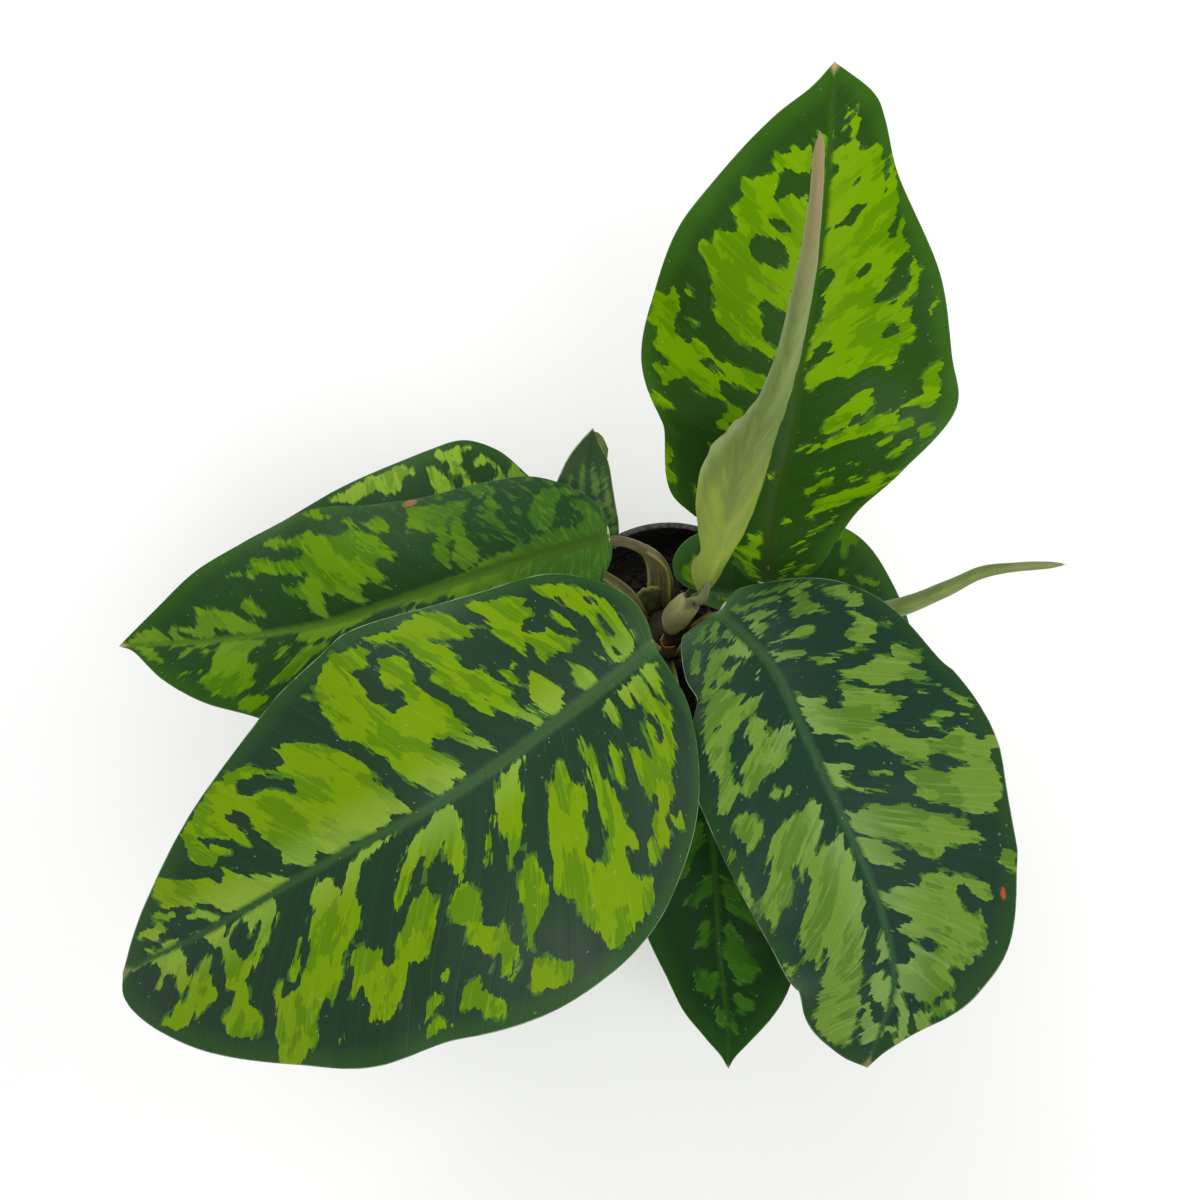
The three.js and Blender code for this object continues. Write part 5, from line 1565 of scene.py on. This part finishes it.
rightRolledLeafHalf = {
    "lift": [0, 0],
    "roll": [2.6, 3.3, 2.8, 2.1, 1.3, 0.7],
    "margin": [(0, 0), (2, 5), (16, 8), (32, 7), (48, 5), (64, 3), (78, 0)],
}
rightRolledLeaf = {
    "name": "rightRolledLeaf",
    "node": "rolled_leaf_right",
    "finish": "young_leaf",
    "seed": 10,
    "groove": 0.1,
    "quilt": 0.05,
    "upper": youngInside,
    # an underside darker than the tall young leaf's: partly its own olive colour, partly painted shade
    "under": undersideSkin(
        "rightYoungUndersidePartShaded", field="75893a", fieldDeep="5e742c", vein="8a9450", low="75893a",
        margin="8a8458", tip="7d8048", tipFrom=0.72, ribShows=0.1, veinShows=0.06,
    ),
    "stalkSkin": youngStalk,
    "slot": 8,
    "stalk": [(14, -14, 98), (30, -17, 110), (56, -12, 119)],
    "rib": [(66, -11, 122), (83, -10, 127), (100, -4, 131), (112, 1, 134), (125, 2, 137), (141, 2, 139)],
    "face": [(0, 0.3, -1), (0, 0.3, -1)],
    "left": rightRolledLeafHalf,
    "right": rightRolledLeafHalf,
}
growLeaf(rightRolledLeaf)

# the dry sheath round the foot of the tall young leaf

drySheathSkin = undersideSkin(
    "drySheathSkin", field="b2ae78", fieldDeep="968f5c", vein="beb88a", margin="8f8a68", tip="7c7654",
    roughness=0.7, ribShows=0.0, veinShows=0.0,
)
tallSheathHalf = {
    "lift": [0, 0],
    "roll": [3.8, 5.4, 5.4, 5, 4],
    "margin": [(0, 0), (1, 9), (8, 14.5), (15, 15), (23, 12), (29, 0)],
}
tallSheath = {
    "name": "tallSheath",
    "node": "sheath_tall",
    "finish": "dry_sheath",
    "seed": 11,
    "groove": 0,
    "quilt": 0.05,
    "upper": drySheathSkin,
    "under": drySheathSkin,
    "rib": [(-2, -6, 84.2), (-1.8, -6.2, 93.8), (1.4, -4.8, 103.5), (5.4, -2.8, 110)],
    "face": [(0.56, 0.76, -0.33), (0.56, 0.76, -0.33)],
    "left": tallSheathHalf,
    "right": tallSheathHalf,
}
growLeaf(tallSheath)
print("leaves grown")

# the crown: a short stout stem with the scars of old leaves round it and papery scraps of sheath

crownForm = {
    "radius": 13.5,
    "foot": 56,
    "footHeight": 8,
    "shoulder": 74,
    "top": 84,
    "topHeight": 4,
    "tipRadius": 6,
    "rows": 60,
    "sides": 72,
    "endShare": 0.08,
    "scarRings": 7,
    "scarDepth": 0.45,
    "bumpHeight": 0.35,
    "smoothAngle": 60,
    "flapsRagged": 0.16,
}
scrapForm = {
    "scraps": 16,
    "offTurn": (-0.2, 0.2),
    "lengths": (5, 11),
    "widths": (2.2, 4.5),
    "feet": (72, 77),
    "leans": (0.0, 0.28),
    "rows": 10,
    "columns": 6,
    "thickness": 0.18,
}


def crownRadius(height):
    # the same outline as the modelled crown, rounded at its shoulder
    form = crownForm
    foot, top, radius = form["foot"], form["top"], form["radius"]
    heights = [foot, foot + form["footHeight"], form["shoulder"], top - form["topHeight"], top]
    return np.interp(height, heights, [radius * 0.7, radius, radius, radius * 0.8, form["tipRadius"]])


def crownSkinAndPaintedShade():
    skin, tree = newSkin("crownSkinAndPaintedShade")
    place = addNode(tree, "TexCoord").outputs["Object"]
    blotch = noiseOn(tree, place, 190, 4)
    stretched = addNode(tree, "VectorMath", {0: place, 1: (1800, 1800, 260)}, operation="MULTIPLY")
    fibre = noiseOn(tree, stretched.outputs[0], 1, 3)
    # the crown's own browns, darkened as painted shade from the leaves over it
    color = blendColors(tree, between(tree, blotch, 0.35, 0.65), "20190e", "3c3220")
    color = blendColors(tree, between(tree, fibre, 0.58, 0.78, (0.0, 0.5)), color, "5f4f34")
    color = blendColors(tree, between(tree, blotch, 0.62, 0.75, (0.0, 0.6)), color, "6e3f1c")
    return finishSkin(skin, color, 0.78, fibre, 0.6, 0.4)


def papersSkin():
    skin, tree = newSkin("papersSkin")
    blotch = noiseOn(tree, addNode(tree, "TexCoord").outputs["Object"], 260, 4)
    color = blendColors(tree, between(tree, blotch, 0.35, 0.62), "3f2a16", "7c5228")
    color = blendColors(tree, between(tree, blotch, 0.62, 0.74), color, "a08a5c")
    return finishSkin(skin, color, 0.8)


def growScrap(number):
    # a scrap of dry sheath: a small curled strip standing against the crown
    form = scrapForm
    turn = 2 * math.pi * number / form["scraps"] + chance.uniform(*form["offTurn"])
    long, wide = chance.uniform(*form["lengths"]), chance.uniform(*form["widths"])
    foot = chance.uniform(*form["feet"])
    lean = chance.uniform(*form["leans"])
    strip, up, across = laidGrid("sheathScrap", form["rows"], form["columns"])
    width = wide * (1 - 0.8 * up**2) * across / 2
    radius = crownRadius(foot) * 0.97 + 0.3 + up * long * lean
    radius = radius + 0.4 * np.cos(2.2 * across) + 0.25 * np.sin(9 * up)
    height = foot + long * up * (1 - 0.12 * across**2)
    placeCorners(strip, aroundCrown(radius, turn + width / 12, height))
    thicken(strip, form["thickness"], -1, papers)
    return strip


def growCrown():
    form = crownForm
    stem, up, around = laidGrid("crownStem", form["rows"], form["sides"])
    turn = np.pi * around
    # the profile runs from the middle of the foot, up the side, to the middle of the top
    end = form["endShare"]
    side = np.clip((up - end) / (1 - 2 * end), 0, 1)
    height = form["foot"] + (form["top"] - form["foot"]) * side
    ringPhase = 2 * np.pi * form["scarRings"] * (side + 0.05 * np.sin(turn))
    radius = crownRadius(height) - form["scarDepth"] * (0.5 + 0.5 * np.cos(ringPhase)) ** 4
    radius = radius - form["bumpHeight"] * (1 - np.sin(7 * turn + 5 * side) * np.sin(3 * turn))
    radius = radius * np.clip(up / end, 0, 1) * np.clip((1 - up) / end, 0, 1) ** 0.8
    placeCorners(stem, aroundCrown(radius, turn, height))
    joinDoubles(stem)
    turnOutward(stem)
    stem.data.materials.append(crownSkinAndPaintedShade())
    smoothBelow(form["smoothAngle"])
    scraps = [growScrap(number) for number in range(scrapForm["scraps"])]
    joinTo(stem, scraps + [growFlap(flap, form["flapsRagged"]) for flap in crownFlaps])
    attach(stem, "root")
    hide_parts("crown")
    print("crown has", len(stem.data.polygons), "faces")


papers = papersSkin()
orangePaper = flapSkin("orangePaper", "8f6230", "6b4222", "b8905a")
darkPaper = flapSkin("darkPaper", "4a2418", "301610", "6e4630")
rustPaper = flapSkin("rustPaper", "74401f", "4a2412", "b8a070")
crownFlaps = [
    {
        "foot": [(8, -6, 79), (12, 0, 79)], "edge": [(9, -7, 87), (14, 1, 89)],
        "bow": 1.0, "skin": orangePaper,
    },
    {
        "foot": [(12, -3, 80), (13, 3, 80)], "edge": [(14, -3, 90), (16, 3, 91)],
        "bow": 0.8, "skin": orangePaper,
    },
    {
        "foot": [(5, -8, 79), (8, -5, 79)], "edge": [(5, -8, 86), (9, -5, 86)],
        "bow": 0.6, "skin": orangePaper,
    },
    {
        "foot": [(-3, -11, 77), (1, -11, 77)], "edge": [(-3, -10, 84), (0, -10, 85)],
        "bow": 0.6, "skin": darkPaper,
    },
    {
        "foot": [(-6, -8, 77), (-3, -8, 77)], "edge": [(-6, -7, 86), (-3, -6, 85)],
        "bow": 0.5, "skin": darkPaper,
    },
    {
        "foot": [(-1, -12, 83), (-1.5, -8.5, 84)], "edge": [(-5.5, -13, 88.5), (-5, -7.5, 90)],
        "bow": 0.6, "skin": rustPaper,
    },
    {
        "foot": [(-3.5, -11, 82), (1.5, -11, 82)], "edge": [(-4.5, -13, 88), (1.5, -12.8, 88)],
        "bow": 0.6, "skin": orangePaper,
    },
    {
        "foot": [(8, -7, 82), (14, -1, 82)], "edge": [(5.8, -6.8, 97), (14.4, -1.6, 99)],
        "bow": 0.8, "skin": orangePaper,
    },
]
growCrown()

# the potting mix: a low mound to just under the rim, with crumbs of bark and peat on it

mixForm = {
    "bottom": 2.3,
    "bottomRadius": 28.5,
    "shoulder": 66,
    "shoulderRadius": 40.1,
    "topRadius": 39.1,
    "edge": 67,
    "middle": 71,
    "unevenness": 0.3,
    "rows": 64,
    "sides": 96,
    "smoothAngle": 40,
    "crumbs": 1500,
    "crumbSizes": (0.5, 2.1),
    "crumbWidths": (0.5, 0.9),
    "crumbHeights": (0.3, 0.6),
    "crumbRaised": 0.15,
    "crumbReach": 38.3,
    "crumbsFrom": 0.02,
}


def mixHeight(x, y):
    share = 1 - np.clip(np.hypot(x, y) / mixForm["topRadius"], 0, 1)
    mound = mixForm["edge"] + (mixForm["middle"] - mixForm["edge"]) * np.sin(share * math.pi / 2)
    crumbly = np.sin(x * 1.9 + np.sin(y * 0.8)) + np.sin(y * 2.3 + np.sin(x * 1.1))
    return mound + mixForm["unevenness"] * crumbly


def mixSkin():
    skin, tree = newSkin("pottingMixSkinAndPaintedShade")
    place = addNode(tree, "TexCoord").outputs["Object"]
    clods = noiseOn(tree, place, 240, 6)
    grain, _ = cellsOn(tree, place, 700)
    # near black: the mix's own dark brown, darkened further as painted shade inside the pot
    color = blendColors(tree, between(tree, clods, 0.35, 0.65), "0b0707", "1b120f")
    color = blendColors(tree, between(tree, grain, 0.84, 0.97, (0.0, 0.4)), color, "3c2d22")
    color = blendColors(tree, between(tree, grain, 0.02, 0.0, (0.0, 0.6)), color, "8a8072")
    return finishSkin(skin, color, 0.95, clods, 0.8, 0.6)


def scatterCrumbs(skin):
    # one crumb, copied; each copy is turned, squashed and pressed into the mound
    form = mixForm
    bpy.ops.mesh.primitive_ico_sphere_add(subdivisions=1, radius=mm, location=(0, 0, 0))
    crumb = bpy.context.object
    crumb.data.materials.append(skin)
    copies = []
    least, most = form["crumbSizes"]
    for _ in range(form["crumbs"]):
        turn = chance.uniform(0, 2 * math.pi)
        reach = form["crumbReach"] * math.sqrt(chance.uniform(form["crumbsFrom"], 1))
        x, y = reach * math.cos(turn), reach * math.sin(turn)
        size = least + (most - least) * chance.uniform() ** 3
        spin = Euler(chance.uniform(0, 2 * math.pi, 3))
        wide, high = chance.uniform(*form["crumbWidths"]), chance.uniform(*form["crumbHeights"])
        stretch = Matrix.Diagonal((size, size * wide, size * high, 1))
        at = Vector((x, y, mixHeight(x, y) + size * form["crumbRaised"])) * mm
        copy = crumb.copy()
        copy.data = crumb.data.copy()
        copy.data.transform(Matrix.Translation(at) @ spin.to_matrix().to_4x4() @ stretch)
        bpy.context.collection.objects.link(copy)
        copies.append(copy)
    bpy.data.objects.remove(crumb)
    return copies


def fillPot():
    form = mixForm
    body, way, around = laidGrid("pottingMix", form["rows"], form["sides"])
    turn = np.pi * around
    # from the middle of the bottom, out, up the side and in over the mound
    radii = [0, form["bottomRadius"], form["shoulderRadius"], form["topRadius"], 0]
    radius = np.interp(way, [0, 0.08, 0.3, 0.34, 1], radii)
    x, y = radius * np.cos(turn), radius * np.sin(turn)
    low = np.interp(way, [0.08, 0.3], [form["bottom"], form["shoulder"]])
    z = np.where(way > 0.32, mixHeight(x, y), low)
    placeCorners(body, np.stack([x, y, z], axis=1))
    joinDoubles(body)
    turnOutward(body)
    skin = mixSkin()
    body.data.materials.append(skin)
    smoothBelow(form["smoothAngle"])
    joinTo(body, scatterCrumbs(skin))
    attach(body, "root")
    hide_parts("potting_mix")
    print("potting mix has", len(body.data.polygons), "faces")


fillPot()

# the pot: a thin tapered one with a stepped band and a rolled rim

potForm = {
    "outside": [(30, 0), (31, 1), (41.6, 66), (43.2, 67), (43.6, 78), (45, 78.4), (45, 80)],
    "inside": [(42.4, 80), (42, 68.2), (40.4, 66), (29.8, 2)],
    "sides": 160,
    "edgeRound": 0.3,
    "edgeSteps": 3,
    "edgeAngle": 25,
    "drainHoles": 8,
    "drainRadius": 3.5,
    "drainRing": 23,
    "drillSides": 32,
    "drillLength": 12,
    "smoothAngle": 30,
}


def potSkin():
    # heights here are in metres: dust, chips and a painted highlight only show at the rim
    skin, tree = newSkin("potPlastic")
    place = addNode(tree, "TexCoord").outputs["Object"]
    height = addNode(tree, "SeparateXYZ", {0: place}).outputs[2]
    dust = noiseOn(tree, place, 520, 4)
    speck, _ = cellsOn(tree, place, 900)
    color = blendColors(tree, between(tree, noiseOn(tree, place, 60, 5), 0.4, 0.7), "131312", "242220")
    # a paler band along the top of the rim: partly dust, partly a painted highlight where the rim catches
    # the light
    dustAndPaintedHighlight = product(tree, between(tree, height, 0.0785, 0.0799), between(tree, dust, 0.34, 0.6))
    color = blendColors(tree, product(tree, dustAndPaintedHighlight, 0.5), color, "5f574c")
    chip = product(tree, between(tree, speck, 0.93, 0.96), between(tree, height, 0.0795, 0.0799))
    color = blendColors(tree, product(tree, chip, 0.4), color, "8f8678")
    return finishSkin(skin, color, between(tree, dust, 0.3, 0.7, (0.45, 0.7)), dust, 0.25, 0.2)


def drillHoles(pot):
    form = potForm
    drills = []
    for number in range(form["drainHoles"]):
        turn = 2 * math.pi * (number + 0.5) / form["drainHoles"]
        at = (form["drainRing"] * math.cos(turn) * mm, form["drainRing"] * math.sin(turn) * mm, 0)
        bpy.ops.mesh.primitive_cylinder_add(
            vertices=form["drillSides"], radius=form["drainRadius"] * mm, depth=form["drillLength"] * mm,
            location=at,
        )
        drills.append(bpy.context.object)
    joinTo(drills[0], drills)
    pickOnly(pot)
    holes = pot.modifiers.new("drainHoles", "BOOLEAN")
    holes.operation = "DIFFERENCE"
    holes.object = drills[0]
    bpy.ops.object.modifier_apply(modifier=holes.name)
    bpy.data.objects.remove(drills[0])


def raisePot():
    form = potForm
    profile = form["outside"] + form["inside"]
    deselectAll()
    bpy.ops.mesh.primitive_circle_add(vertices=form["sides"], radius=profile[0][0] * mm, fill_type="NGON")
    pot = bpy.context.object
    pot.name = "nurseryPot"
    bpy.ops.object.mode_set(mode="EDIT")
    bpy.ops.mesh.select_all(action="SELECT")
    for (radius, z), (nextRadius, nextZ) in zip(profile, profile[1:]):
        grow = nextRadius / radius
        bpy.ops.mesh.extrude_region_move(TRANSFORM_OT_translate={"value": (0, 0, (nextZ - z) * mm)})
        bpy.ops.transform.resize(value=(grow, grow, 1), center_override=(0, 0, 0))
    bpy.ops.object.mode_set(mode="OBJECT")
    turnOutward(pot)
    edges = pot.modifiers.new("roundEdges", "BEVEL")
    edges.width = form["edgeRound"] * mm
    edges.segments = form["edgeSteps"]
    edges.limit_method = "ANGLE"
    edges.angle_limit = math.radians(form["edgeAngle"])
    bpy.ops.object.modifier_apply(modifier=edges.name)
    drillHoles(pot)
    pot.data.materials.append(potSkin())
    smoothBelow(form["smoothAngle"])
    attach(pot, "root")
    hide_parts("pot")
    print("pot has", len(pot.data.polygons), "faces")


raisePot()
